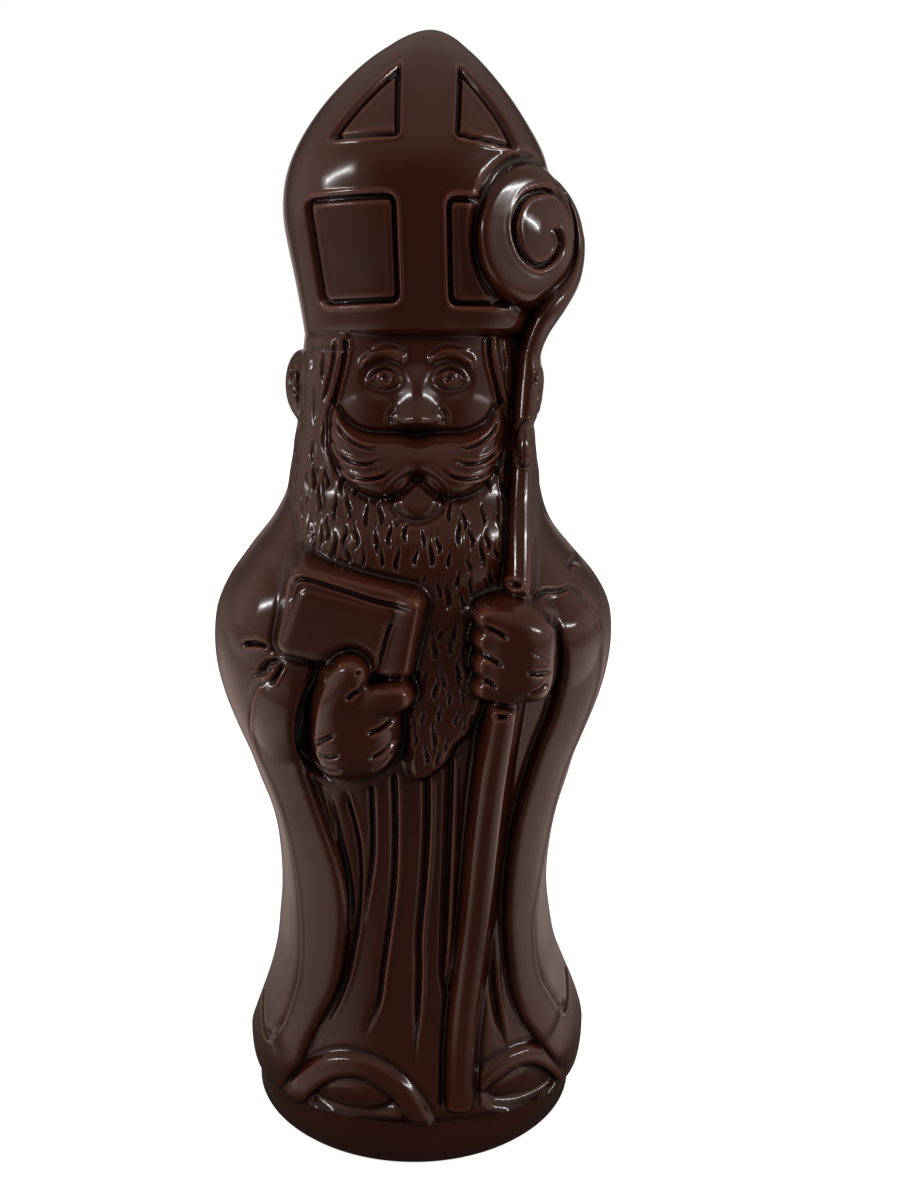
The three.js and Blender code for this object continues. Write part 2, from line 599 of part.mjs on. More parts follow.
function addEar(x, z, depth) {
  const q = ((Math.abs(x) - EAR.x) / EAR.halfWidth) ** 2 + ((z - EAR.z) / EAR.halfHeight) ** 2;
  return q < 1 ? Math.max(depth, EAR.depth * Math.sqrt(1 - q)) : depth;
}

// Front half, from the robe up to the mitre, then everything that stands in front of it
function frontDepth(x, z) {
  if (z > RIM_HEIGHT) {
    const mitre = mitreColumn(x, z);
    return addShaft(x, z, addCrook(x, z, addPanels(x, z, mitre)), mitre);
  }
  let depth = 0;
  if (z < ROBE_TOP_FADE[1]) {
    depth = addSleeves(x, z, addCape(x, z, addRobeFolds(x, z, robeColumn(x, z, ROBE_FRONT))));
    depth = addShoes(x, z, depth);
  }
  const head = addEar(x, z, addFace(x, z, headColumn(x, z, HEAD_FRONT)));
  depth = addBeard(x, z, blendMax(depth, head, 1));
  const under = blendMax(robeColumn(x, z, ROBE_FRONT), headColumn(x, z, HEAD_FRONT), 1);
  depth = addShaft(x, z, depth, under);
  return addFingerGrooves(x, z, addFist(x, z, addHand(x, z, addBook(x, z, depth))));
}

// Back half: cape with soft folds, hair, two ribbons, and the mitre with the same panels
function backDepth(x, z) {
  if (z > RIM_HEIGHT) return Math.max(addPanels(x, z, mitreColumn(x, z)), crookBack(x, z));
  let depth = 0;
  if (z < ROBE_TOP_FADE[1]) {
    const folds = smooth(...BACK_FOLDS.bottom, z) * (1 - smooth(...BACK_FOLDS.top, z));
    const phase = (x / curve(ROBE_HALF_WIDTH, z)) * Math.PI * BACK_FOLDS.count;
    const valley = (0.5 + 0.5 * Math.cos(phase)) ** 2;
    depth = robeColumn(x, z, ROBE_BACK) - BACK_FOLDS.depth * folds * valley;
  }
  depth = blendMax(depth, addEar(x, z, headColumn(x, z, HEAD_BACK)), 1.5);
  return Math.max(addRibbons(x, z, depth), crookBack(x, z));
}

function crookBack(x, z) {
  const disc = { x: CROOK.x, z: CROOK.z, halfWidth: CROOK.radius, halfHeight: CROOK.radius };
  return CROOK_BACK_DEPTH * Math.sqrt(dome(x, z, disc));
}

function addRibbons(x, z, depth) {
  if (z < RIBBON.bottom) return depth;
  const edge = Math.abs(Math.abs(x) - RIBBON.x) / RIBBON.halfWidth;
  const end = smooth(RIBBON.bottom, RIBBON.bottom + 1, z);
  return edge < 1 ? depth + RIBBON.lift * (1 - edge ** 6) * end : depth;
}

// Row heights: even steps up the figure, then a fine cap at the apex
function rowHeight(j) {
  const capFrom = GRID - CAP_ROWS;
  if (j <= capFrom) return mix(PLINTH_HEIGHT, CAP_START, j / capFrom);
  const left = (GRID - j) / CAP_ROWS;
  return TOP_HEIGHT - (TOP_HEIGHT - CAP_START) * left ** (1 / MITRE_POINT_POWER);
}

// The point of the surface at grid column i and row j: columns run round the front, then the back
function surfacePoint(i, j) {
  const turn = ((i % GRID) / GRID) * 2 * Math.PI;
  const z = rowHeight(j);
  const [left, right] = outline(z);
  const s = -Math.cos(turn);
  const x = (left + right) / 2 + ((right - left) / 2) * s;
  if (i % (GRID / 2) === 0) return new THREE.Vector3(x, 0, z);
  const side = Math.sin(turn);
  const relief = side > 0 ? frontDepth(x, z) : backDepth(x, z);
  const edge = Math.sqrt(1 - Math.abs(s) ** EDGE_POWER);
  const depth = Math.max(relief * edge, EDGE_DEPTH * Math.abs(side));
  return new THREE.Vector3(x, side > 0 ? -depth : depth, z);
}

function samplePoints() {
  const points = [];
  for (let j = 0; j <= GRID; j += 1) {
    for (let i = 0; i <= GRID; i += 1) {
      points.push(i === GRID ? points[j * (GRID + 1)] : surfacePoint(i, j));
    }
  }
  for (let n = 0; n < SOFTEN_PASSES; n += 1) soften(points);
  return points;
}

// Rounds the relief as a mould does: each depth is averaged with those beside it, but for the
// parting line, the hem and the apex
function soften(points) {
  const at = (i, j) => points[j * (GRID + 1) + ((i + GRID) % GRID)].y;
  const pair = (i, j) => at(i - 1, j) + 2 * at(i, j) + at(i + 1, j);
  const softer = [];
  for (let j = 1; j < GRID; j += 1) {
    for (let i = 0; i < GRID; i += 1) {
      softer.push((pair(i, j - 1) + 2 * pair(i, j) + pair(i, j + 1)) / 16);
    }
  }
  softer.forEach((y, k) => {
    const i = k % GRID;
    const j = 1 + Math.floor(k / GRID);
    if (i % (GRID / 2)) points[j * (GRID + 1) + i].y = y;
  });
}

// How far the point at (i, j) lies from the straight edge between its two neighbours
function bend(points, i, j, di, dj) {
  const at = (a, b) => points[b * (GRID + 1) + a];
  const from = at(i - di, j - dj);
  const along = at(i + di, j + dj).clone().sub(from);
  const off = at(i, j).clone().sub(from);
  const length = along.length();
  return length < 1e-6 ? off.length() : off.cross(along).length() / length;
}

// The error that leaving each grid point out would cause, raised so that a point's error is
// never below that of the points that depend on it. The hem keeps at least RING_STEPS points, and
// the first and last columns are one seam.
function gridErrors(points) {
  const width = GRID + 1;
  const errors = new Float32Array(width * width);
  const raise = (k, i, j) => {
    if (i < 0 || j < 0 || i > GRID || j > GRID) return;
    errors[k] = Math.max(errors[k], errors[j * width + i]);
  };
  for (let size = 2; size <= GRID; size *= 2) {
    const half = size / 2;
    const quarter = size / 4;
    for (let j = 0; j <= GRID; j += half) {
      for (let i = (j / half) % 2 ? 0 : half; i <= GRID; i += size) {
        const k = j * width + i;
        const [di, dj] = (j / half) % 2 ? [0, half] : [half, 0];
        errors[k] = bend(points, i, j, di, dj);
        if (j === 0 && half * RING_STEPS >= GRID) errors[k] = Infinity;
        if (quarter < 1) continue;
        for (const [a, b] of [[-1, -1], [1, -1], [-1, 1], [1, 1]]) {
          raise(k, i + a * quarter, j + b * quarter);
        }
      }
      const first = j * width;
      errors[first] = Math.max(errors[first], errors[first + GRID]);
      errors[first + GRID] = errors[first];
    }
    for (let j = half; j < GRID; j += size) {
      for (let i = half; i < GRID; i += size) {
        const k = j * width + i;
        const even = ((i - half) / size + (j - half) / size) % 2 === 0;
        errors[k] = bend(points, i, j, half, even ? half : -half);
        for (const [a, b] of [[-1, 0], [1, 0], [0, -1], [0, 1]]) {
          raise(k, i + a * half, j + b * half);
        }
      }
    }
  }
  return errors;
}

// Halves a right triangle at the middle of its long side while that middle's error is over the limit
function split(errors, limit, a, b, c, out) {
  const i = (a[0] + b[0]) / 2;
  const j = (a[1] + b[1]) / 2;
  const whole = Math.abs(a[0] - c[0]) + Math.abs(a[1] - c[1]) > 1;
  if (whole && errors[j * (GRID + 1) + i] > limit) {
    split(errors, limit, c, a, [i, j], out);
    split(errors, limit, b, c, [i, j], out);
    return;
  }
  out.push([a, b, c]);
}

function triangulate(errors, limit) {
  const out = [];
  split(errors, limit, [0, 0], [GRID, GRID], [0, GRID], out);
  split(errors, limit, [GRID, GRID], [0, 0], [GRID, 0], out);
  return out;
}

// The finest set of triangles within the budget
function chooseTriangles(errors) {
  let low = 0.005;
  let high = 2;
  for (let n = 0; n < 14; n += 1) {
    const middle = Math.sqrt(low * high);
    if (triangulate(errors, middle).length > TRIANGLES) low = middle;
    else high = middle;
  }
  return triangulate(errors, high);
}

// The wall between two rings that go round the same way, the first one lower or further in
function wallTriangles(low, high) {
  return low.flatMap((point, k) => {
    const next = (k + 1) % low.length;
    return [[point, low[next], high[next]], [point, high[next], high[k]]];
  });
}

// Closes a flat ring with strips between the points of its front and back
function footTriangles(ring) {
  const out = [];
  let front = 1;
  let back = ring.length - 1;
  out.push([ring[0], ring[back], ring[front]]);
  while (back - front > 1) {
    if (front + back > ring.length) {
      out.push([ring[front], ring[back], ring[back - 1]]);
      back -= 1;
    } else {
      out.push([ring[front], ring[back], ring[front + 1]]);
      front += 1;
    }
  }
  return out;
}

// The plinth: a round step under the hem, with one point under each point of the hem
function plinthTriangles(hem, columns) {
  const circle = (radius, z) =>
    columns.map((i) => {
      const turn = (i / GRID) * 2 * Math.PI;
      return new THREE.Vector3(-radius * Math.cos(turn), -radius * Math.sin(turn), z);
    });
  const top = circle(PLINTH_RADIUS, PLINTH_HEIGHT);
  const bottom = circle(PLINTH_RADIUS, PLINTH_CHAMFER);
  const foot = circle(PLINTH_RADIUS - PLINTH_CHAMFER, 0);
  return [
    ...wallTriangles(top, hem),
    ...wallTriangles(bottom, top),
    ...wallTriangles(foot, bottom),
    ...footTriangles(foot),
  ];
}

function figureGeometry() {
  const points = samplePoints();
  const apex = points[points.length - 1];
  const pointAt = ([i, j]) => (j === GRID ? apex : points[j * (GRID + 1) + (i % GRID)]);
  const faces = chooseTriangles(gridErrors(points));
  const columns = new Set(faces.flat().filter(([, j]) => j === 0).map(([i]) => i % GRID));
  const ring = [...columns].sort((a, b) => a - b);
  const body = faces.map((face) => face.map(pointAt)).filter((face) => new Set(face).size === 3);
  const hem = ring.map((i) => points[i]);
  const positions = [...body, ...plinthTriangles(hem, ring)].flat();
  return new THREE.BufferGeometry().setFromPoints(positions);
}

const figure = new THREE.Group();
const geometry = figureGeometry();
geometry.computeVertexNormals();
const body = new THREE.Mesh(geometry, new THREE.MeshStandardMaterial(CHOCOLATE));
body.name = "chocolate_figure";
figure.add(body);

export default figure;
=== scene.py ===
"""A moulded dark chocolate figure of a standing bishop with a book and a crozier, on a round plinth.

The figure is one closed surface, sculpted as its two-part mould is: a front and a back relief over
the (x, z) plane that meet at the parting line. Fine grooves, strands and air bubbles are then cut
along the surface normal. Sculpting is in millimetres, objects are in metres.
"""
import math
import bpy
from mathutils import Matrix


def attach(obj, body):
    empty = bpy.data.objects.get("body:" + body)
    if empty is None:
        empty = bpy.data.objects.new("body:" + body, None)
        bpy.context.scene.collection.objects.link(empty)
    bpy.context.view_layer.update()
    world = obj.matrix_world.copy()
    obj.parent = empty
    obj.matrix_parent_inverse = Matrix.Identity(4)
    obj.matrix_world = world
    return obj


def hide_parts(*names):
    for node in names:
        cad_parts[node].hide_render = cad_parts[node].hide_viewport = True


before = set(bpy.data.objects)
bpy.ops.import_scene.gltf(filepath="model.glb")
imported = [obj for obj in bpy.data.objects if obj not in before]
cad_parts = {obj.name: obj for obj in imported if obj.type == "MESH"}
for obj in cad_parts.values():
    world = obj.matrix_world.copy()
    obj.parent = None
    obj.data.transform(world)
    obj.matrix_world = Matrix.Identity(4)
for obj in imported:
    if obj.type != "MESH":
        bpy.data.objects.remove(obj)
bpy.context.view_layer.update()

from types import SimpleNamespace as Form

import bpy
import numpy as np
from mathutils import Quaternion, Vector

MM = 0.001

# Overall sizes; here and below, a Form is a group of named values
PLINTH_HEIGHT = 12.5
PLINTH_RADIUS = 47.4
PLINTH_FRONT_RADIUS = 48.0
PLINTH_CHAMFER = 0.8
RIM_HEIGHT = 222.5
TOP_HEIGHT = 300.0

# Robe column, as [height, half width], [height, middle] and [height, front or back depth]
ROBE_HALF_WIDTH = [
    [8, 49.6], [12.5, 51], [16, 51], [20, 50.1], [25, 48.5], [30, 46.7], [36, 44.5], [44, 42.1], [52, 40.9],
    [60, 40], [68, 39.9], [76, 40.4], [84, 41.4], [92, 43.2], [100, 45.9], [108, 48.5], [116, 51.9],
    [124, 54.9], [132, 56.8], [140, 57.2], [148, 55.9], [156, 51.9], [164, 45.6], [172, 39.3], [180, 35.6],
    [188, 33], [196, 28],
]
ROBE_MIDDLE = [
    [8, 0.6], [14, 0.8], [20, 1.4], [26, 1.6], [32, 1.5], [38, 1.1], [44, 0.6], [60, 0.1], [90, 0.2],
    [108, -0.4], [128, -0.5], [150, -0.2], [158, -0.5], [168, -1.1], [180, -0.1],
]
ROBE_FRONT = [
    [4, 47.2], [12.5, 47.4], [20, 46], [30, 43.5], [60, 39], [90, 39], [120, 41], [150, 40], [165, 35],
    [184, 22],
]
ROBE_BACK = [
    [4, 47.6], [10, 49.4], [14, 50.2], [20, 49], [30, 46], [60, 39], [90, 41], [120, 45], [145, 45.5],
    [165, 39], [184, 26],
]
ROBE_TOP_FADE = (180, 196)
# The heights over which the cape draws in to a round hem
HEM_SPAN = (12.5, 24)
SECTION_POWER = 2.2
# How far neighbouring forms melt into each other
BLEND = Form(head=2, ear=1.5, crook=1, face=1, digit=2)

# Head, hair and the top of the beard
HEAD_HALF_WIDTH = [[150, 29], [170, 34], [184, 34.6], [196, 33], [204, 31.6], [212, 31.2], [224, 29.8]]
HEAD_FRONT = [[150, 38], [165, 39.5], [185, 36.5], [200, 33.5], [214, 32], [224, 30.6]]
HEAD_BACK = [[150, 30], [170, 34], [190, 34], [224, 31]]
HEAD_SPAN = (150, 224)
HEAD_POWER = 2.6

# Mitre, as [height, half width] and [height, middle]
MITRE_HALF_WIDTH = [
    [222, 30.4], [228, 31.3], [236, 32.7], [244, 34.3], [252, 35.7], [257, 35.9], [262, 35.4], [268, 33.7],
    [276, 29.1], [284, 22.9], [292, 14.8], [296.5, 8.8],
]
MITRE_MIDDLE = [[222, 0.5], [262, 0.8], [268, 1.1], [276, 1.2], [284, 1.7], [292, 2.6], [300, 4.3]]
MITRE_FRONT_RATIO = 1.06
MITRE_LIP = 2.0
# Beside the crook the mitre's front is squarer
MITRE_BOX = Form(x=(8, 26), foot=(216, 226), top=(246, 264), power=1.3)
CAP_START = 296.5
CAP_POWER = 0.61

RIBBON = Form(x=11, half_width=5, bottom=172, lift=1.8, power=6)
BACK_FOLDS = Form(count=5, depth=1.5, bottom=(12, 30), top=(110, 150))
EAR_LOOP = [[31.6, 206.4], [33.1, 208], [33.5, 211], [32.5, 213.2], [31.2, 212.4], [30.9, 209]]
EAR = Form(x=30.5, z=208.8, half_width=5.1, half_height=9.8, depth=8)

# Crozier; a rim or ridge is given by its height, its place and its width
CROOK = Form(x=28.4, z=246.8, radius=13, squash=0.772, depth=36.5, slope=0.42, bend=0.01, lean=0.13, edge=2.8)
CROOK_BULGE = Form(x=30.8, z=248, half_width=6, half_height=7.5, lift=1.5)
MOAT = Form(depth=3.6, floor=0.8, width=2, rim=(0.35, 2.7, 0.6))
CROOK_BACK_DEPTH = 12
SPIRAL = [
    [35.4, 248.9], [36.9, 245.2], [35.7, 241.4], [31.4, 239], [27.2, 241.2], [25, 245.7], [24.9, 250.4],
    [27.3, 255.2], [31.6, 257.2], [35.6, 256.9], [38.4, 254.3], [40.2, 250.5], [41.1, 246.5], [41.1, 241.5],
    [39.2, 235.8],
]
# The spiral's grooves: first point, end, half width, depth, taper at both ends and rim
SPIRAL_GROOVES = [
    (0, 11, 3.2, 0.25, 0.3, 0), (0, 11, 1.05, 2.3, (0.04, 0.14), 0.4),
    (8, 15, 0.55, 1, (0.3, 0.04), 0.2),
]
CROOK_EDGE = [
    [213, 34], [218, 34.4], [223, 36.5], [229, 40.7], [234.5, 44], [240, 45.4], [246.4, 45.6],
    [248.7, 45.1], [251.8, 44.3], [254.9, 43], [258, 41], [261.1, 38.2], [264, 35.6], [266.5, 32.8],
]
# Staff, as x, z, radius, depth of its top and depth of the gap beside it
SHAFT = [
    [37.5, 261, 0.8, 18, 0], [41, 256, 1.1, 16.8, 0.4], [43, 250.5, 1.3, 16.2, 0.5],
    [43.6, 245, 1.4, 16.6, 0.5], [42.7, 239.6, 1.7, 18.4, 0.7], [40.7, 235.6, 2.1, 21, 1.4],
    [37.8, 231.6, 2.8, 24.2, 2.2], [34.6, 227.6, 3.3, 26.2, 2.8], [32.6, 224, 3, 26.2, 3.4],
    [30.8, 219.4, 2.7, 26.4, 3.4], [29.4, 210, 2.5, 27.6, 3.4], [28.5, 198, 2.5, 30.6, 3.4],
    [27.3, 184, 2.5, 35, 3.4], [26.8, 172, 2.6, 40.5, 3.4], [26.4, 158, 2.7, 46.5, 3.4],
    [26, 150, 3.2, 48, 3.4], [22.6, 128, 3.8, 48.5, 3.4], [19.6, 104.5, 3.8, 47, 3.4],
    [16.8, 71, 3.7, 44.5, 3.4], [15, 54, 3.7, 44.6, 3.4], [13, 35, 3.7, 47, 3.4], [12.4, 17, 3.7, 50, 3.4],
]
COLLAR = Form(x=28.2, z=195.2, half_width=2.1, half_height=4.8, lift=2)
COLLAR_LINE = [
    [25.6, 195.2], [26.6, 199.2], [28.4, 200.8], [30.2, 199.2], [31, 195.2], [30, 191], [28, 189.6],
    [26.2, 191],
]
SHAFT_FORM = Form(foot=16.4, round=0.9, gap_width=2.3, reach=7)

# Mitre panels: their outer corners, the curved side through one point more
PANELS = [
    [[-3.2, 288], [-3.3, 268.4], [-20.8, 268.4], [-17.6, 273], [-13.6, 277.8], [-8.6, 283]],
    [[10.8, 287.8], [9.6, 268.4], [25.6, 266.2], [22.6, 272.8], [18.6, 278.8], [14.6, 283.8]],
    [[-27.4, 255.3], [-4.2, 255.5], [-3.3, 229.6], [-23.8, 229.2]],
    [[7.5, 254.9], [33, 254.3], [32, 228.9], [8.4, 228.9]],
]
PANEL_CORNERS = [1.6, 1.6, 3, 3]
PANEL = Form(
    groove=2.2, width=1.6, middle=0.55, half=0.6, recess=0.45, ridge=(0.12, 2.7, 0.5),
    rim=(0.35, -0.45, 0.45), outside=2,
)

# Cape edges beside the robe, as [height, x]
CAPE_LEFT = [
    [12.4, -38.8], [17.8, -35.2], [24, -31.4], [31, -28.4], [39, -24.6], [47, -20.8], [58, -18.6],
    [70, -17.6], [83, -19.5], [92, -22.6], [102, -25.7], [108, -27.6], [115, -29], [123, -29.4],
    [131, -27.8], [138, -25], [147, -31], [153, -33], [167, -28], [180, -33.8], [190, -37],
]
CAPE_RIGHT = [
    [12.4, 45.4], [21.4, 39.6], [29.5, 34.3], [37, 29.6], [45, 26.8], [53, 25.5], [65, 24.5], [78, 24.9],
    [94, 26.7], [104, 29], [116, 32.4], [126, 36], [143, 37.5], [156, 31.5], [168, 30.2], [180, 34.4],
    [190, 38],
]
CAPE = Form(lift=4.4, ease=0.75, top_fade=(176, 190))
CAPE_ROUND = [[135, 3.6], [152, 2.2]]

# Beard outline
BEARD = [
    [-34, 190], [-29, 168], [-20, 152], [-9, 140], [-2.8, 128], [-1.8, 121], [-1.4, 112], [-0.2, 109.6],
    [2.8, 109.8], [5.1, 111.5], [8.7, 114.4], [9.9, 118.2], [13.2, 121.4], [16, 126], [18.4, 130],
    [22, 145], [29, 160], [34, 190],
]
BEARD_FORM = Form(lift=5, round=2.4, gap=1.2, gap_width=2, fade=(168, 186), top=192)

# Book
BOOK = [[-29.8, 167.2], [2.6, 159.6], [-1.2, 136.8], [-35.6, 143.6]]
BOOK_CORNER = 3.4
BOOK_PLATE = [[-28, 160.8], [-4.6, 155.6], [-10, 134], [-34.6, 141]]
BOOK_FACE = Form(depth=50.5, slope_x=0.2, origin_x=-4, edge=2.6)
BOOK_PLATE_FORM = Form(lift=1.1, edge=(-0.5, 0.4), corner=2.5)
BOOK_SPINE = Form(top=[0, 156.6], bottom=[-5.2, 136], radius=4, lift=1.7)
BOOK_PAGES = [[-31.6, 155.4], [-29, 162.8], [-19, 160.9], [-8.9, 158.1], [0.8, 156.4]]

# Hands
HAND = [
    [-23.2, 139.8], [-19.6, 143.4], [-15.6, 145], [-12.2, 143.2], [-11, 138.6], [-8.6, 137.2],
    [-3.7, 138.2], [-0.8, 137.2], [0.2, 134.6], [-1.6, 131.4], [-3, 127.5], [-3.2, 122.6], [-5.2, 115.8],
    [-9.7, 111.4], [-16, 109.8], [-21.4, 110.8], [-25, 115], [-26.3, 121.6], [-26, 129], [-24.6, 135],
]
HAND_FORM = Form(base=43, lift=9.5, round=8.5)
DIGITS = [
    Form(line=[[-21, 124, 50.5], [-19.6, 131.5, 53], [-15.6, 139.6, 54]], radius=4.9),
    Form(line=[[-17, 129.5, 50.5], [-11, 132.8, 53.4], [-4, 134, 54.2]], radius=4.1),
]
FIST = [
    [16.8, 156.6], [15.6, 151.5], [15.2, 144], [15.6, 138.5], [17.6, 133.8], [23.5, 131], [31.3, 131.4],
    [34.8, 134.6], [35.6, 141], [35.2, 150], [31.8, 155.2], [25.2, 158],
]
FIST_FORM = Form(base=44, lift=10, round=8)
KNUCKLES = Form(x=[17.8, 24], z=[154, 148.2, 141.8, 135.9], fall=1, radius=3.3, depth=52.6)

# Finger, cuff and sleeve creases: the lines, their half width and depth before they are deepened
CREASE = Form(deepen=1.2, rim=0.26)
CREASES = [
    ([[-25.6, 120.6], [-22.8, 122.9], [-19.9, 124.7]], 0.8, 1.3),
    ([[-24.9, 118.3], [-21.5, 118.6], [-18.4, 119.6]], 0.8, 1.1),
    ([[-23.2, 114.6], [-20.5, 114.5], [-17.9, 115.2]], 0.7, 0.9),
    ([[-12.1, 124.8], [-8.6, 126], [-4.4, 128.4]], 0.9, 1.4),
    ([[-11.6, 118.2], [-8, 119.6], [-4.2, 122.8]], 0.9, 1.3),
    ([[-11.4, 114.6], [-8, 116.4], [-5.3, 119.2]], 0.6, 0.8),
    ([[-16.8, 133.8], [-15.2, 135.4], [-13, 136.6]], 0.8, 1.6),
    ([[17, 152.4], [20, 151.4], [23.4, 149.4]], 0.8, 1.4),
    ([[15.8, 145.4], [18.6, 144.6], [22.2, 142.4]], 0.8, 1.4),
    ([[17, 138.6], [18.6, 138.4], [20.4, 136.8]], 0.7, 1.2),
    ([[28.6, 145.9], [31, 145.3], [33.6, 143.3]], 0.5, 0.5),
    ([[27.4, 141.2], [30.5, 140.7], [34, 140.6]], 0.8, 1.2),
    ([[28.2, 135.4], [30.6, 136.2], [33.4, 138]], 0.8, 1.1),
    ([[-5.3, 154], [-6.8, 149.6], [-9.8, 138]], 0.7, 0.9),
    ([[-45.4, 142.8], [-41.4, 143.9], [-37.4, 143.6]], 1, 1.9),
    ([[-40.9, 135.8], [-38.2, 139.2], [-34.2, 141]], 1, 1.8),
    ([[-42.4, 134.9], [-39, 136.8], [-35.8, 139.3]], 0.8, 1.3),
    ([[-37, 134.2], [-34.9, 138], [-33.5, 140.4]], 1, 1.6),
    ([[-24.1, 138.6], [-28, 130.5], [-29.6, 122.4], [-28.9, 114.5], [-25.2, 108.4], [-19, 106.6]], 1.2, 1.8),
    ([[29, 156.6], [33.6, 157.6], [37.9, 157.2], [42, 158]], 0.7, 1.2),
    ([[39.4, 158.4], [43.8, 155.4], [46.9, 151]], 0.8, 0.9),
    ([[40.5, 161.6], [43.6, 162.2], [46.6, 160.8]], 0.9, 0.5),
    ([[31.6, 155.4], [35.9, 150.5], [37.2, 142.1], [36.4, 132.5], [32, 128.6]], 1.1, 1.5),
]

SLEEVES = [
    Form(x=-34, z=127, half_width=9.5, half_height=15, lift=4),
    Form(x=41, z=145, half_width=8, half_height=13, lift=3.2),
    Form(x=-43, z=152, half_width=9, half_height=14, lift=1.6),
]

# Robe folds: a soft fall into a groove and a steep rise on the right
ROBE_FOLDS = [
    [[-11.1, 107], [-11, 88.8], [-12, 78.9], [-13.1, 72], [-14.2, 62]],
    [[-5.1, 111], [-4.8, 94.3], [-5.3, 78.7], [-6.8, 64.9], [-8.5, 52.8], [-9.9, 43.4], [-14.3, 33.2]],
    [[3.7, 110], [3.7, 94.3], [2.9, 78.7], [1.6, 63.1], [1.6, 53.1], [1.1, 41.4], [-0.3, 24.9]],
    [[9.9, 116], [9.6, 94], [9.1, 75.9], [8.6, 57], [8.7, 49], [9.8, 42]],
    [
        [-18.4, 105], [-15.2, 91.6], [-14.3, 81.9], [-15, 68.8], [-16.6, 59], [-18.2, 51], [-21.2, 42.5],
        [-25.6, 33],
    ],
    [[21.4, 64], [21.8, 53.8], [22.3, 46], [23.6, 38], [25.5, 28.4]],
]
# The shares of its length over which each robe fold fades at its top and at its foot
ROBE_FOLD_ENDS = [(0.03, 0.6), (0.03, 0.25), (0.03, 0.25), (0.03, 0.4), (0.06, 0.35), (0.5, 0.3)]
ROBE_FOLD = Form(depth=2, wide=2.8, narrow=0.8, rim=0.3)
INNER_FOLD = [[-22.8, 104.6], [-20, 90], [-18, 81.3], [-16.9, 71.2], [-17.6, 60]]

# Outer folds of the cape: the panel between the fold and the cape's edge stands proud
CAPE_FOLDS = [
    [
        [-38.6, 136], [-41.4, 131], [-42.6, 125.9], [-43.5, 119.2], [-42, 111.6], [-38.4, 103.3],
        [-35.7, 94.3], [-32.7, 79.1], [-31.5, 65.2], [-31.6, 53.8], [-32.8, 45], [-35.8, 35], [-38.6, 29],
        [-41.4, 24.8],
    ],
    [
        [44.6, 156], [48.3, 149], [50.6, 139.7], [49.6, 129.5], [45.9, 118.3], [41.5, 106.3], [38.5, 93.3],
        [35.8, 76], [33.7, 64.2], [33.8, 54.1], [35.4, 46], [38.4, 39.6], [41.2, 34.6], [43, 31.8],
    ],
]
CAPE_FOLD = Form(depth=1.5, wide=1.6, narrow=0.6, rim=0.35, swell=(1.05, 0, 7))
CAPE_FOLD_ENDS = (0.05, 0.1)
# A rim beside a fold's steep side: how far from it and how wide
FOLD_RIM = (0.6, 0.5)
FOLD_REACH = 12
HEM_TIPS = [
    [[-40.6, 26.4], [-42.8, 23.8], [-45, 24.4], [-47.2, 29]],
    [[42.2, 34], [44.2, 31], [45.8, 32.2], [46.8, 36.4]],
]

# Air bubbles left by the casting, as x, z, half width, half height, depth
PITS = [
    [25.2, 161.2, 1.8, 1.1, 3], [22.2, 128, 1.8, 0.9, 2], [-13.7, 140.9, 0.7, 0.7, 1],
    [-10.4, 138.3, 0.4, 0.4, 0.6],
]
PIT = Form(edge=(0.55, 1.05), rim=(0.3, 1.3, 0.25))

# Hair and beard strands on a jittered lattice from low to high; they lean away from the fan's middle
BEARD_HAIR = Form(
    seed=11, low=(-33, 106), high=(33, 188), step_x=4.2, step_z=5.8, length=7.8, length_spread=0.3,
    half_width=0.66, width_spread=0.2, depth=1.15, sway=0.8, least_bend=0.4, fan=0.0004,
)
HAIR = Form(
    seed=5, low=(-34, 160), high=(34, 220), step_x=2.9, step_z=10, length=13, length_spread=0.35,
    half_width=0.62, width_spread=0, depth=0.6, sway=0.6, least_bend=0, fan=0,
)
FAN_MIDDLE = (-4, 120)
JITTER = (0.22, 0.3)
# A strand's S shape from its top down, as shares of its lean, its sway and its length
WAVE = [(1, -0.3, 1), (0.6, 0.6, 0.68), (0.3, -0.4, 0.3), (0, 0.5, 0)]
# Along a strand: where it is full, where it thins out again, and its share of width at the ends
STRAND = Form(full=0.6, thins=0.7, ends=0.4)
# How far strands keep from what they grow around and over how much they fade there, in mm;
# lip is in half widths of the lip, and face_foot and cape_top are heights
STRAND_ROOM = Form(
    hands=2, hands_fade=0.8, moustache=0.5, lip=(1.18, 1.32), staff=0.8, beard_edge=0.8, beard_side=(5, 8),
    face=3.4, face_foot=203, cheek=23, cape=1, cape_top=182, rim=1, fade=0.4,
)
# A groove's own rim: its height, and its place and width in half widths of the groove
RIM = 0.14
RIM_PLACE = (1.35, 0.4)
STRAND_RIM_PLACE = (1.4, 0.4)
GROOVE_REACH = 2.3
# Single grooves: half width, depth, and where they are given the taper at both ends and the rim
GROOVES = Form(
    inner_fold=(1.1, 1.3), hem_tip=(0.9, 0.9), pages=(0.8, 1.1, 0.1, 0.3), collar=(0.5, 0.8, 0, 0.2),
    whisker=(0.6, 1.2, 0.3, 0.4), lock=(1, 1.5, 0.06, 0.4), outer_lock=(0.6, 0.7, 0.2, 0.2),
    ear=(0.7, 0.9, 0.1, 0.3),
)
WHISKERS = [
    [[21.4, 203], [19.4, 198.8], [16.2, 196], [12.4, 194.6], [9, 194.6]],
    [[22.4, 197], [20.2, 193.4], [16.6, 191.3], [12.2, 190.8], [8.4, 191.8]],
    [[20.6, 190.2], [17.4, 188], [13.4, 187.1], [9, 187.8], [5.4, 189.8]],
]

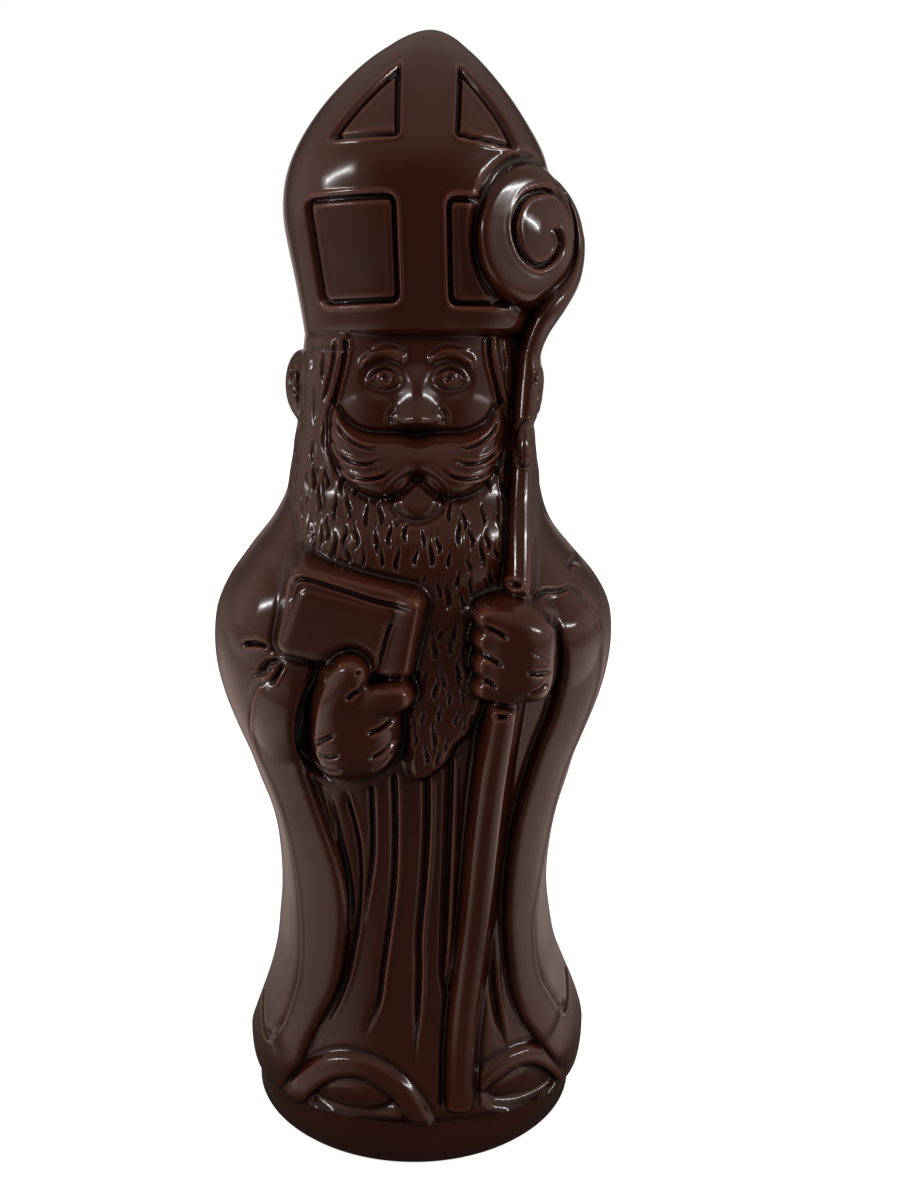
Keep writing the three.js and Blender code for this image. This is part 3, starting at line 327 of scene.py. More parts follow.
# Hem arches as [x, z, half width], and shoes with the line of the sole's edge
ARCHES = [
    [
        [-34.6, 11.8, 2.6], [-29.4, 19.6, 2.9], [-21.6, 25.4, 3.1], [-13, 26.3, 3.1], [-5, 22.4, 3.1],
        [0, 16.4, 3.1], [2.2, 12.2, 3.1],
    ],
    [
        [18, 22.4, 2.7], [22, 24.6, 2.8], [27.1, 26.4, 2.7], [32, 26.2, 2.5], [36.4, 24, 2.4],
        [40.2, 20, 2.2], [43, 15.4, 2],
    ],
]
ARCH = Form(lift=2, sink=0.2, gap=1.1, gap_width=1.4, draft=2.2, under_cape=(0.4, -0.6), reach=6)
SHOES = [
    Form(
        x=-18.2, z=18.6, half_width=13.2, half_height=4.8, tilt=0.07,
        sole=[[-33, 13.6], [-28, 12.9], [-20, 12.9], [-12, 13.4], [-5, 14.2], [-2.6, 15.6]],
    ),
    Form(
        x=31, z=18.2, half_width=11.4, half_height=4.4, tilt=-0.05,
        sole=[[19.4, 14.6], [24, 13.6], [30, 13], [37, 12.8], [42.4, 13.8]],
    ),
]
SHOE = Form(recess=3, recess_floor=0.7, gap=1.4, toe=0.4, crown=3.4, top=36)
SOLE = Form(radius=1.3, lift=0.9, round=1.2, draft=2.2, reach=4)
# The ground under the shoes: how far it lies behind the plinth's side and how it falls back with height
LEDGE = Form(sink=0.3, slope=1.5)

# Face: eye line halfway up the head, one eye's width between the eyes, equal thirds
FACE_X = 0.8
EYE_LINE = 211.5
EYE_WIDTH = 8.0
FACE_THIRD = 16.0
BROW_LINE = EYE_LINE + FACE_THIRD / 4
NOSE_BASE = BROW_LINE - FACE_THIRD
FACE_BOTTOM = 174
FACE_HALF_WIDTH = [[184, 20], [198, 22], [206, 21], [214, 18.6], [224, 17.6]]
HAIRLINE = Form(lift=1.6, span=(-1, 1.2), fade=(184, 194), half_width=32)
SOCKET = Form(x=EYE_WIDTH + 0.6, z=EYE_LINE, half_width=6.4, half_height=5)
EYE = Form(x=EYE_WIDTH, z=EYE_LINE - 0.2, half_width=3.9, half_height=2.6)
CHEEK = Form(x=12.5, z=203, half_width=8, half_height=5.4)
# Domes on each side of the face, with their lift and the power that softens their edge
FACE_DOMES = [(SOCKET, -1.8, 3), (CHEEK, 0.8, 2), (EYE, 1.9, 1.4)]
PUPIL = Form(z=EYE_LINE + 0.1, radius=1.25, depth=0.55)
# Lids as [x, height over the eye line], brow as [x, height over the brow line, half width]
LIDS = [
    [[3.6, -0.6], [5.6, 2.1], [8.2, 2.9], [10.8, 1.9], [12.6, -0.6]],
    [[4.2, -1.3], [6.4, -2.8], [8.6, -3], [11, -2.2], [12.4, -0.9]],
]
LID_HALF_WIDTH = 0.8
LID_LIFT = 0.9
BROW = [[4, 1.1, 1.5], [6.6, 2.3, 2], [10, 2.1, 1.9], [13.6, 0, 1.2]]
BROW_LIFT = 1.7
NOSE = Form(root=1, tip=4.2, power=0.85, root_fade=(1.05, 0.7), foot_fade=1.4, slim=3.3, wide=4.6, slims=0.7)
NOSE_TIP = Form(x=0, z=NOSE_BASE + 2.6, half_width=3.2, half_height=2.8, lift=2)
NOSE_WING = Form(x=3.8, z=NOSE_BASE + 1.9, half_width=2.1, half_height=1.9, lift=1.4)
# Grooves on each side of the face, over a line of it: the lids' edges and the crease beside the nose
FACE_LINE = dict(taper=0.15, rim=0.2)
FACE_LINES = [
    (EYE_LINE, [[3.8, -0.6], [5.6, 1.6], [8.2, 2.4], [10.8, 1.5], [12.5, -0.6]], 0.5, 0.7),
    (EYE_LINE, [[3.8, -0.8], [6, -2.3], [8.4, -2.7], [10.9, -2], [12.5, -0.8]], 0.45, 0.5),
    (NOSE_BASE, [[5.6, 4.6], [7, 2.8], [6.8, 0.6]], 0.8, 0.45),
]
# The locks beside the face: heights of the line, its distance from the face, and a finer line outside it
LOCK = Form(heights=[221.6, 216, 210, 204.6], beyond=0.4, outer=2.6)
LIP = Form(x=0, z=182.4, half_width=6.4, half_height=5.4)
LIP_FORM = Form(lift=1.1, groove=(1.4, 0, 1.1), rim=(0.35, 1.9, 0.7))
# One side of the moustache, as [distance from the middle of the face, height]
MOUSTACHE = [
    [0, 196.6], [4, 197.4], [8, 197.6], [13, 198], [18, 200.4], [21, 204.6], [22.2, 200], [22, 194.6],
    [19.2, 187.8], [15.4, 184.2], [10.4, 182.4], [5.8, 183], [2.6, 185.2], [0, 187.2],
]
MOUSTACHE_FORM = Form(lift=5.6, round=6, sink=1.4, gap_width=1.8, parting=(0.7, 0, 3))

# Mesh
FRONT_COLUMNS = 400
BACK_COLUMNS = 140
ROW_STEPS = [[PLINTH_HEIGHT, 0.4], [36, 0.62], [104, 0.4], [165, 0.36], [224, 0.5]]
CAP_ROWS = 16
SOFTEN_PASSES = 5
QUICK = 1.0
# The steepness of a form's sides, and how far out its side is worked out
DRAFT = 4.0
OUTLINE_REACH = 8
# At the parting line: least depth, how square the edge is, and the sine of the turn where the relief is full
EDGE_DEPTH = 3.0
EDGE_POWER = 24
RELIEF_FULL = 0.16
# A rim ends where a groove of this depth crosses it
RIM_END = 0.3

# Cavity map, which paints shade into grooves and a highlight onto rims: the reach and repeats of the blur in
# grid steps, the value along the hem, which paints a dark line of shade there, and its range in mm
PAINTED_SHADE_CAVITY = Form(columns=2, rows=2, repeats=2, hem=-0.2, scale=0.42)

# Chocolate: its colour from the deepest grooves to the highest rims, with painted shade near black in the
# grooves, its own dark brown between, and a painted red-brown highlight on the rims; mottling, gloss and
# grain
CHOCOLATE_PAINTED_SHADE_RAMP = [
    (0.0, (0.004, 0.0012, 0.0008)), (0.3, (0.018, 0.0045, 0.002)), (0.5, (0.036, 0.0095, 0.0045)),
    (0.72, (0.042, 0.0115, 0.0055)), (1.0, (0.09, 0.03, 0.018)),
]
MOTTLE = dict(Scale=26.0, Detail=5.0, Roughness=0.6)
MOTTLE_SPAN = (0.3, 0.7)
MOTTLE_SHARE = 0.14
GLOSS = (0.1, 0.16)
UNEVEN = dict(Scale=110.0, Detail=4.0, Roughness=0.45)
UNEVEN_BUMP = dict(Strength=0.6, Distance=0.00012)
IOR = 1.5

# Studio, in metres and light strengths
FLOOR_SIZE = 4.0
# The floor's shade for all but the camera and for the camera, and its glow for the camera
FLOOR_SHADE = (0.1, 0.8)
FLOOR_GLOW = 0.72
ROOM = Form(front=0.065, side=0.68, side_span=(0.28, 1.0), ceiling=0.38, ceiling_span=(0.3, 0.9))
BEHIND = Form(dim=0.75, dim_span=(0.3, 1.0), glow=0.45, glow_span=(0.9, 1.0))
SOFT_FILL = 0.42
FLOOR_SIDE = Form(strength=0.9, near=(0.06, 0.2), far=(0.3, 0.9), far_share=0.6)
ROOM_TINT = (1, 0.76, 0.67, 1)
WHITE = (1, 1, 1, 1)
LAMP = Form(x=0.75, y=-0.35, z=0.55, roll=-25, target=(0, 0, 0.17))
# Each lamp is a bright narrow strip in the middle of a wide faint one: width, height and power
STRIPS = [(0.4, 0.009, 1.4), (0.5, 0.14, 0.5)]
CAMERA = Form(place=(0, -0.34, 0.221), down=12.13, lens=36.3, sensor=36)
# The photo in pixels, and the column that the figure's middle is in
PHOTO = Form(width=900, height=1200, middle=414.1)


# Small tools
def smooth(low, high, v):
    t = np.clip((v - low) / (high - low), 0, 1)
    return t * t * (3 - 2 * t)


def mix(a, b, t):
    return a + (b - a) * t


def blend_max(a, b, k):
    """The larger of two values, rounded over a band of k where they are nearly equal."""
    h = np.maximum(k - np.abs(a - b), 0) / k
    return np.maximum(a, b) + h * h * k / 4


def curve(knots, at):
    """A smooth curve through [position, value] knots, held level beyond its ends."""
    p, v = np.array(knots, float).T
    at = np.clip(at, p[0], p[-1])
    i = np.clip(np.searchsorted(p, at, side="right") - 1, 0, len(p) - 2)
    slopes = np.diff(v) / np.diff(p)
    tangents = np.concatenate((slopes[:1], (slopes[1:] + slopes[:-1]) / 2, slopes[-1:]))
    span = p[i + 1] - p[i]
    t = (at - p[i]) / span
    hump = span * t * (1 - t) * (tangents[i] * (1 - t) - tangents[i + 1] * t)
    return v[i] + (v[i + 1] - v[i]) * t * t * (3 - 2 * t) + hump


def section(offset, power=SECTION_POWER):
    """The height of a rounded section at an offset from its middle, given in half widths."""
    q = np.minimum(np.abs(offset), 1)
    return (1 - q**power) ** (1 / power)


def bump(value, height, at, width):
    """A soft bump, given by its height, its place and its width."""
    return height * np.exp(-(((value - at) / width) ** 2))


def ellipse(x, z, shape, grow=0):
    """The squared distance from the middle of an ellipse, 1 at its edge."""
    across = (x - shape.x) / (shape.half_width + grow)
    up = (z - shape.z) / (shape.half_height + grow)
    return across**2 + up**2


def dome(x, z, shape):
    return np.sqrt(np.maximum(1 - ellipse(x, z, shape), 0))


def swelling(x, z, shape):
    """A soft hump without an edge."""
    return shape.lift * np.exp(-ellipse(x, z, shape))


def stroke(points, steps=6, closed=False):
    """Samples of a smooth line through (x, z, ...values) points."""
    p = np.array(points, float)
    if closed:
        ends = np.vstack((p[-1:], p, p[:2]))
    else:
        ends = np.vstack((2 * p[0] - p[1], p, 2 * p[-1] - p[-2]))
    t = np.linspace(0, 1, steps, endpoint=False)[:, None]
    parts = []
    for a, b, c, d in zip(ends, ends[1:], ends[2:], ends[3:]):
        square = 2 * a - 5 * b + 4 * c - d
        cube = 3 * b - a - 3 * c + d
        parts.append(0.5 * (2 * b + (c - a) * t + square * t**2 + cube * t**3))
    return np.vstack(parts if closed else parts + [p[-1:]])


def rounded(points, radius, steps=5):
    """A closed outline with its corners rounded."""
    p = np.array(points, float)
    t = np.linspace(0, 1, steps)[:, None]
    parts = []
    for before, corner, after in zip(np.roll(p, 1, 0), p, np.roll(p, -1, 0)):
        start = corner + (before - corner) * radius / np.linalg.norm(before - corner)
        end = corner + (after - corner) * radius / np.linalg.norm(after - corner)
        parts.append((1 - t) ** 2 * start + 2 * t * (1 - t) * corner + t**2 * end)
    return np.vstack(parts)


class Near:
    """The points within reach of a line: their index, distance, side, place along it and its values."""

    def __init__(self, line, x, z, reach):
        low = line[:, :2].min(0) - reach
        high = line[:, :2].max(0) + reach
        at = np.flatnonzero((x > low[0]) & (x < high[0]) & (z > low[1]) & (z < high[1]))
        start = line[:-1, :2]
        step = np.diff(line[:, :2], axis=0)
        px = x[at, None] - start[:, 0]
        pz = z[at, None] - start[:, 1]
        t = np.clip((px * step[:, 0] + pz * step[:, 1]) / (step**2).sum(1), 0, 1)
        square = (px - t * step[:, 0]) ** 2 + (pz - t * step[:, 1]) ** 2
        i = square.argmin(1)
        rows = np.arange(len(at))
        distance = np.sqrt(square[rows, i])
        keep = distance < reach
        i, rows = i[keep], rows[keep]
        t = t[rows, i]
        cross = step[i, 0] * pz[rows, i] - step[i, 1] * px[rows, i]
        self.at = at[keep]
        self.distance = distance[keep]
        self.side = np.where(cross >= 0, 1.0, -1.0)
        self.along = (i + t) / (len(line) - 1)
        self.values = mix(line[i, 2:].T, line[i + 1, 2:].T, t)


def outline_distance(points, x, z, reach=OUTLINE_REACH):
    """The signed distance to a closed outline, negative inside, worked out within reach of it."""
    p = np.array(points, float)
    out = np.full(x.shape, float(reach))
    low, high = p.min(0) - reach, p.max(0) + reach
    at = np.flatnonzero((x > low[0]) & (x < high[0]) & (z > low[1]) & (z < high[1]))
    px, pz = x[at], z[at]
    best = np.full(px.shape, np.inf)
    inside = np.zeros(px.shape, bool)
    for (ax, az), (bx, bz) in zip(p, np.roll(p, -1, 0)):
        dx, dz = bx - ax, bz - az
        t = np.clip(((px - ax) * dx + (pz - az) * dz) / (dx * dx + dz * dz), 0, 1)
        best = np.minimum(best, (px - ax - t * dx) ** 2 + (pz - az - t * dz) ** 2)
        if dz:
            inside ^= ((az > pz) != (bz > pz)) & (px < dx * (pz - az) / dz + ax)
    best = np.sqrt(best)
    out[at] = np.where(inside, -best, np.minimum(best, reach))
    return out


def pillow(distance, radius):
    """A rounded swelling inside an outline: 0 at the outline, 1 at radius and further in."""
    q = np.clip(1 + distance / radius, 0, 1)
    return np.sqrt(1 - q * q)


def lay_over(depth, top, distance, gap=2.6, width=2.6):
    """Sets a form with steep sides on the surface, in a rounded gap of its own."""
    gap = gap * (1 - smooth(0, width, distance))
    side = top - np.maximum(distance, 0) * DRAFT
    return np.where(distance < OUTLINE_REACH, np.maximum(depth - gap, side), depth)


def slab_edge(distance, radius):
    """The height of a slab with a rounded edge: 0 on top, falling steeply past the edge."""
    d = np.clip(distance, -radius, 0)
    top = np.sqrt(np.maximum(radius * radius - (d + radius) ** 2, 0)) - radius
    return top - np.maximum(distance, 0) * DRAFT


# Big forms
def mitre_half_width(z):
    cap = MITRE_HALF_WIDTH[-1][1] * np.maximum((TOP_HEIGHT - z) / (TOP_HEIGHT - CAP_START), 0) ** CAP_POWER
    return np.where(z > CAP_START, cap, curve(MITRE_HALF_WIDTH, z))


def outline(z):
    """The parting line: the left and right ends of the figure at each height."""
    crook = np.where((z < CROOK_EDGE[0][0]) | (z > CROOK_EDGE[-1][0]), 0, curve(CROOK_EDGE, z))
    robe = np.where(z < ROBE_TOP_FADE[1], curve(ROBE_HALF_WIDTH, z), 0)
    head = curve(HEAD_HALF_WIDTH, z)
    ear_rise = dome(EAR.x, z, EAR)
    ear = np.where(ear_rise > 0, EAR.x + EAR.half_width * ear_rise, 0)
    ends = []
    for side in (-1, 1):
        low = robe + side * curve(ROBE_MIDDLE, z)
        low = np.where(z < HEAD_SPAN[0], low, blend_max(low, head, BLEND.head))
        high = mitre_half_width(z) + side * curve(MITRE_MIDDLE, z)
        ends.append(np.where(z > RIM_HEIGHT, high, blend_max(low, ear, BLEND.ear)))
    return -ends[0], blend_max(ends[1], crook, BLEND.crook)


def robe_section(x, z, power=SECTION_POWER):
    return section((x - curve(ROBE_MIDDLE, z)) / curve(ROBE_HALF_WIDTH, z), power)


def robe_column(x, z, depths):
    return curve(depths, z) * robe_section(x, z) * (1 - smooth(*ROBE_TOP_FADE, z))


def head_column(x, z, depths):
    column = curve(depths, z) * section(x / curve(HEAD_HALF_WIDTH, z), HEAD_POWER)
    return np.where((z > HEAD_SPAN[0]) & (z < HEAD_SPAN[1]), column, 0)


def mitre_column(x, z):
    """The mitre over its rim, which rounds in to the head."""
    half = np.maximum(mitre_half_width(z), 1e-6)
    q = np.clip(1 - (z - RIM_HEIGHT) / MITRE_LIP, 0, 1)
    lip = MITRE_LIP * (1 - np.sqrt(1 - q * q))
    beside = smooth(*MITRE_BOX.x, x) * smooth(*MITRE_BOX.foot, z) * (1 - smooth(*MITRE_BOX.top, z))
    power = SECTION_POWER + MITRE_BOX.power * beside
    return half * MITRE_FRONT_RATIO * section((x - curve(MITRE_MIDDLE, z)) / half, power) - lip


def past_cape_edge(x, z):
    """How far across a point lies past the cape's edge, in mm, below 0 on the robe."""
    return np.maximum(curve(CAPE_LEFT, z) - x, x - curve(CAPE_RIGHT, z))


def add_cape(x, z, depth):
    q = np.clip(1 - past_cape_edge(x, z) / curve(CAPE_ROUND, z), 0, 1)
    lip = np.sqrt(1 - q * q)
    rise = CAPE.lift * lip * smooth(0, CAPE.ease, robe_section(x, z))
    return depth + rise * (1 - smooth(*CAPE.top_fade, z))


def tuck_hem(x, z, depth):
    """Draws the cape in to a round section at the hem."""
    ring = curve(ROBE_HALF_WIDTH, z) * robe_section(x, z, 2)
    return mix(depth, np.minimum(depth, ring), 1 - smooth(*HEM_SPAN, z))


def add_sleeves(x, z, depth):
    for sleeve in SLEEVES:
        depth = depth + sleeve.lift * dome(x, z, sleeve) ** 2
    return depth


def add_shoe(x, z, depth, foot, shoe):
    """A shoe's toe in its recess, and the edge of its sole."""
    level = z - shoe.tilt * (x - shoe.x)
    out = depth - SHOE.recess * (1 - smooth(SHOE.recess_floor, 1, ellipse(x, level, shoe, SHOE.gap)))
    crown = dome(x, level, shoe)
    top = foot + SHOE.toe - SHOE.crown * (1 - np.sqrt(crown))
    out = np.where(crown > 0, np.maximum(out, top), out)
    n = Near(stroke(shoe.sole), x, z, SOLE.reach)
    q = np.minimum(n.distance / SOLE.radius, 1)
    past = np.maximum(n.distance - SOLE.radius, 0)
    top = foot[n.at] + SOLE.lift - SOLE.round * (1 - np.sqrt(1 - q * q)) - past * SOLE.draft
    out[n.at] = np.maximum(out[n.at], top)
    return out


def add_arch(x, z, depth, robe, arch):
    """A flat band that follows the robe, and ends under the cape."""
    out = depth.copy()
    n = Near(stroke(arch), x, z, ARCH.reach)
    radius = n.values[0]
    past = n.distance - radius
    band = np.sqrt(1 - np.minimum(n.distance / radius, 1) ** 4)
    free = smooth(*ARCH.under_cape, past_cape_edge(x[n.at], z[n.at]))
    gap = ARCH.gap * (1 - smooth(0, ARCH.gap_width, past)) * free
    top = robe[n.at] + ARCH.lift * band * free - ARCH.sink - np.maximum(past, 0) * ARCH.draft
    out[n.at] = np.maximum(depth[n.at] - gap, top)
    return out


def add_shoes(x, z, robe):
    """The shoes under the arches of the hem."""
    foot = np.sqrt(np.maximum(PLINTH_RADIUS**2 - x * x, 0))
    out = robe
    for shoe in SHOES:
        out = add_shoe(x, z, out, foot, shoe)
    for arch in ARCHES:
        out = add_arch(x, z, out, robe, arch)
    ground = foot - LEDGE.sink - np.maximum(z - PLINTH_HEIGHT, 0) * LEDGE.slope
    return np.where(z < SHOE.top, np.maximum(out, ground), robe)


def add_beard(x, z, depth):
    distance = outline_distance(BEARD, x, z)
    lift = BEARD_FORM.lift + slab_edge(distance, BEARD_FORM.round)
    fade = 1 - smooth(*BEARD_FORM.fade, z)
    gap = BEARD_FORM.gap * (1 - smooth(0, BEARD_FORM.gap_width, distance)) * fade * (distance > 0)
    return np.where(z < BEARD_FORM.top, np.maximum(depth - gap, depth + np.maximum(lift, 0) * fade), depth)


def add_book(x, z, depth):
    distance = outline_distance(rounded(BOOK, BOOK_CORNER), x, z)
    face = BOOK_FACE.depth + BOOK_FACE.slope_x * (x - BOOK_FACE.origin_x)
    face = face + slab_edge(np.minimum(distance, 0), BOOK_FACE.edge)
    off_plate = outline_distance(rounded(BOOK_PLATE, BOOK_PLATE_FORM.corner), x, z)
    face += BOOK_PLATE_FORM.lift * (1 - smooth(*BOOK_PLATE_FORM.edge, off_plate))
    n = Near(stroke([BOOK_SPINE.top, BOOK_SPINE.bottom]), x, z, BOOK_SPINE.radius)
    face[n.at] += BOOK_SPINE.lift * np.sqrt(1 - (n.distance / BOOK_SPINE.radius) ** 2)
    return lay_over(depth, face, distance)


def add_digit(x, z, depth, line, radius):
    """A finger along (x, z, top depth) points, melting into what it lies on."""
    n = Near(stroke(line), x, z, radius)
    top = n.values[0] - radius * (1 - np.sqrt(1 - (n.distance / radius) ** 2))
    depth = depth.copy()
    depth[n.at] = blend_max(depth[n.at], top, BLEND.digit)
    return depth


def add_pad(x, z, depth, points, form):
    distance = outline_distance(stroke(points, 4, closed=True), x, z)
    return lay_over(depth, form.base + form.lift * pillow(distance, form.round), distance)


def add_hand(x, z, depth):
    depth = add_pad(x, z, depth, HAND, HAND_FORM)
    for digit in DIGITS:
        depth = add_digit(x, z, depth, digit.line, digit.radius)
    return depth


def add_fist(x, z, depth):
    depth = add_pad(x, z, depth, FIST, FIST_FORM)
    left, right = KNUCKLES.x
    top = KNUCKLES.depth
    for height in KNUCKLES.z:
        line = [[left, height, top], [right, height - KNUCKLES.fall, top]]
        depth = add_digit(x, z, depth, line, KNUCKLES.radius)
    return depth


def add_shaft(x, z, depth):
    n = Near(stroke(SHAFT), x, z, SHAFT_FORM.reach)
    radius, top, gap = n.values
    past = n.distance - radius
    gap = gap * (1 - smooth(0, SHAFT_FORM.gap_width, past))
    fall = SHAFT_FORM.round * radius * (1 - np.sqrt(np.maximum(1 - (n.distance / radius) ** 2, 0)))
    top = top + COLLAR.lift * dome(x[n.at], z[n.at], COLLAR) - fall
    out = depth.copy()
    out[n.at] = np.maximum(depth[n.at] - gap, top - DRAFT * np.maximum(past, 0))
    return np.where(z < SHAFT_FORM.foot, depth, out)


def off_crook(x, z):
    """The distance from the middle of the crook's disc, which is taller than wide."""
    return np.hypot(x - CROOK.x, (z - CROOK.z) * CROOK.squash)


def add_crook(x, z, depth):
    past = off_crook(x, z) - CROOK.radius
    moat = MOAT.depth * (1 - smooth(MOAT.floor, MOAT.width, past))
    moat = moat - bump(past, *MOAT.rim)
    across = x - CROOK.x + CROOK.radius
    face = CROOK.depth - (CROOK.slope + CROOK.bend * across) * across
    face += swelling(x, z, CROOK_BULGE) + slab_edge(past, CROOK.edge) - CROOK.lean * (z - CROOK.z)
    return np.where(past < 2 * MOAT.width, np.maximum(depth - moat, face), depth)


# Face
def add_face(x, z, depth):
    across = np.abs(x - FACE_X)
    bare = 1 - smooth(*HAIRLINE.span, across - curve(FACE_HALF_WIDTH, z))
    sunk = HAIRLINE.lift * bare * smooth(*HAIRLINE.fade, z)
    out = depth - sunk * section(x / HAIRLINE.half_width)
    for shape, lift, power in FACE_DOMES:
        out += lift * dome(across, z, shape) ** power
    out = add_line(across, z, out, over(BROW, BROW_LINE), BROW_LIFT)
    for lid in LIDS:
        line = [[*point, LID_HALF_WIDTH] for point in over(lid, EYE_LINE)]
        out = add_line(across, z, out, line, LID_LIFT)
    out += nose_height(across, z)
    out = add_lip(across, z, out)
    out = add_moustache(x, z, out)
    return np.where((z > FACE_BOTTOM) & (z < RIM_HEIGHT), out, depth)


def over(points, line):
    """Points whose heights are given over a level line of the face."""
    return [[x, line + up, *more] for x, up, *more in points]


def add_line(x, z, depth, points, lift):
    """A soft raised line through (x, z, half width) points."""
    line = stroke(points)
    n = Near(line, x, z, line[:, 2].max())
    q = np.minimum(n.distance / n.values[0], 1)
    depth = depth.copy()
    depth[n.at] += lift * (1 - q * q) ** 1.5
    return depth


def nose_height(across, z):
    up = np.clip((z - NOSE_BASE) / (BROW_LINE - NOSE_BASE), 0, 1)
    half = mix(NOSE.wide, NOSE.slim, smooth(0, NOSE.slims, up))
    rise = mix(NOSE.tip, NOSE.root, up ** NOSE.power) * smooth(*NOSE.root_fade, up)
    whole = bump(across, rise, 0, half) + swelling(across, z, NOSE_TIP) + swelling(across, z, NOSE_WING)
    return whole * smooth(NOSE_BASE - NOSE.foot_fade, NOSE_BASE + NOSE.foot_fade, z)


def add_lip(across, z, depth):
    past = (np.sqrt(ellipse(across, z, LIP)) - 1) * LIP.half_height
    edge = bump(past, *LIP_FORM.rim) - bump(past, *LIP_FORM.groove)
    return depth + LIP_FORM.lift * dome(across, z, LIP) + edge


def moustache_outline():
    one = [[FACE_X + across, height] for across, height in MOUSTACHE]
    other = [[FACE_X - across, height] for across, height in reversed(MOUSTACHE[1:-1])]
    return stroke(one + other, 4, closed=True)


def add_moustache(x, z, depth):
    distance = outline_distance(moustache_outline(), x, z)
    lift = MOUSTACHE_FORM.lift * pillow(distance, MOUSTACHE_FORM.round)
    lift -= bump(x - FACE_X, *MOUSTACHE_FORM.parting)
    top = np.where(distance < 0, depth + lift, depth - MOUSTACHE_FORM.sink)
    return lay_over(depth, top, distance, MOUSTACHE_FORM.sink, MOUSTACHE_FORM.gap_width)


def add_ear(x, z, depth):
    rise = dome(np.abs(x), z, EAR)
    return np.where(rise > 0, np.maximum(depth, EAR.depth * rise), depth)


def front_depth(x, z):
    top = add_shaft(x, z, add_crook(x, z, mitre_column(x, z)))
    robe = robe_column(x, z, ROBE_FRONT)
    head = head_column(x, z, HEAD_FRONT)
    dressed = add_shoes(x, z, tuck_hem(x, z, add_sleeves(x, z, add_cape(x, z, robe))))
    low = add_beard(x, z, blend_max(dressed, add_ear(x, z, add_face(x, z, head)), BLEND.face))
    low = add_shaft(x, z, low)
    low = add_fist(x, z, add_hand(x, z, add_book(x, z, low)))
    return np.where(z > RIM_HEIGHT, top, low)


def back_depth(x, z):
    disc = Form(x=CROOK.x, z=CROOK.z, half_width=CROOK.radius, half_height=CROOK.radius / CROOK.squash)
    crook = CROOK_BACK_DEPTH * np.sqrt(dome(x, z, disc))
    fade = smooth(*BACK_FOLDS.bottom, z) * (1 - smooth(*BACK_FOLDS.top, z))
    valley = (0.5 + 0.5 * np.cos(x / curve(ROBE_HALF_WIDTH, z) * np.pi * BACK_FOLDS.count)) ** 2
    robe = robe_column(x, z, ROBE_BACK) - BACK_FOLDS.depth * fade * valley
    low = blend_max(robe, add_ear(x, z, head_column(x, z, HEAD_BACK)), BLEND.ear)
    edge = np.clip(np.abs(np.abs(x) - RIBBON.x) / RIBBON.half_width, 0, 1)
    band = (1 - edge ** RIBBON.power) * smooth(RIBBON.bottom, RIBBON.bottom + 1, z)
    low = low + RIBBON.lift * band
    return np.maximum(np.where(z > RIM_HEIGHT, mitre_column(x, z), low), crook)


# Fine relief
class Relief:
    """Grooves and rims along the surface normal, over the points of one half of the figure."""

    def __init__(self, x, z):
        self.x = x
        self.z = z
        self.cut = np.zeros(x.shape)
        self.rise = np.zeros(x.shape)
        self.zone = np.ones(x.shape)

    def carve(self, at, cut, rise=0):
        """Keeps the deepest cut and the highest rim at each point, within the zone that is set."""
        zone = self.zone[at]
        self.cut[at] = np.maximum(self.cut[at], cut * zone)
        self.rise[at] = np.maximum(self.rise[at], rise * zone)

    def groove(self, points, half_width, depth, taper=0.25, rim=RIM):
        """A rounded groove with a slight rim, fading out over a share of its length at both ends."""
        n = Near(stroke(points), self.x, self.z, half_width * GROOVE_REACH)
        q = n.distance / half_width
        start, end = taper if isinstance(taper, tuple) else (taper, taper)
        fade = smooth(0, start, n.along) * smooth(0, end, 1 - n.along) if taper else 1
        cut = depth * fade * (1 - np.minimum(q, 1) ** 2) ** 2
        self.carve(n.at, cut, fade * bump(q, rim, *RIM_PLACE))

    def strand(self, points, half_width, depth):
        """A spindle: thin and shallow at both ends, widest a little below its middle."""
        n = Near(stroke(points, 4), self.x, self.z, half_width * GROOVE_REACH)
        swell = smooth(0, STRAND.full, n.along) * (1 - smooth(STRAND.thins, 1, n.along))
        q = n.distance / (half_width * mix(STRAND.ends, 1, swell))
        cut = depth * swell * (1 - np.minimum(q, 1) ** 2) ** 2
        self.carve(n.at, cut, swell * bump(q, RIM, *STRAND_RIM_PLACE))

    def fold(self, points, shape, taper, mirrored=False):
        """An overlap: a soft fall on one side of the line and a steep rise with a rim on the other."""
        n = Near(stroke(points), self.x, self.z, FOLD_REACH)
        s = n.distance * n.side * (-1 if mirrored else 1)
        fade = smooth(0, taper[0], n.along) * smooth(0, taper[1], 1 - n.along)
        soft = np.clip(1 + s / shape.wide, 0, 1) ** 2
        steep = 1 - smooth(0, shape.narrow, s)
        cut = shape.depth * fade * np.where(s < 0, soft, steep)
        rim = bump(s - shape.narrow, shape.rim, *FOLD_RIM)
        if hasattr(shape, "swell"):
            rim += smooth(0, 1, s) * bump(s, *shape.swell)
        self.carve(n.at, cut, rim * fade)

    def panel(self, points, corner):
        t = -outline_distance(rounded(points, corner), self.x, self.z, 2 * PANEL.outside)
        at = np.flatnonzero(t > -PANEL.outside)
        t = t[at]
        q = np.clip(np.abs(t / PANEL.width - PANEL.middle) / PANEL.half, 0, 1)
        groove = PANEL.groove * (1 - q**2) ** 2
        plate = PANEL.recess * smooth(0, PANEL.width, t) - bump(t, *PANEL.ridge)
        self.carve(at, np.maximum(groove, plate), bump(t, *PANEL.rim))

    def pit(self, x, z, half_width, half_height, depth):
        q = np.hypot((self.x - x) / half_width, (self.z - z) / half_height)
        at = np.flatnonzero(q < GROOVE_REACH)
        q = q[at]
        self.carve(at, depth * (1 - smooth(*PIT.edge, q)), bump(q, *PIT.rim))

    def offset(self):
        return self.rise * (1 - np.clip(self.cut / RIM_END, 0, 1)) - self.cut


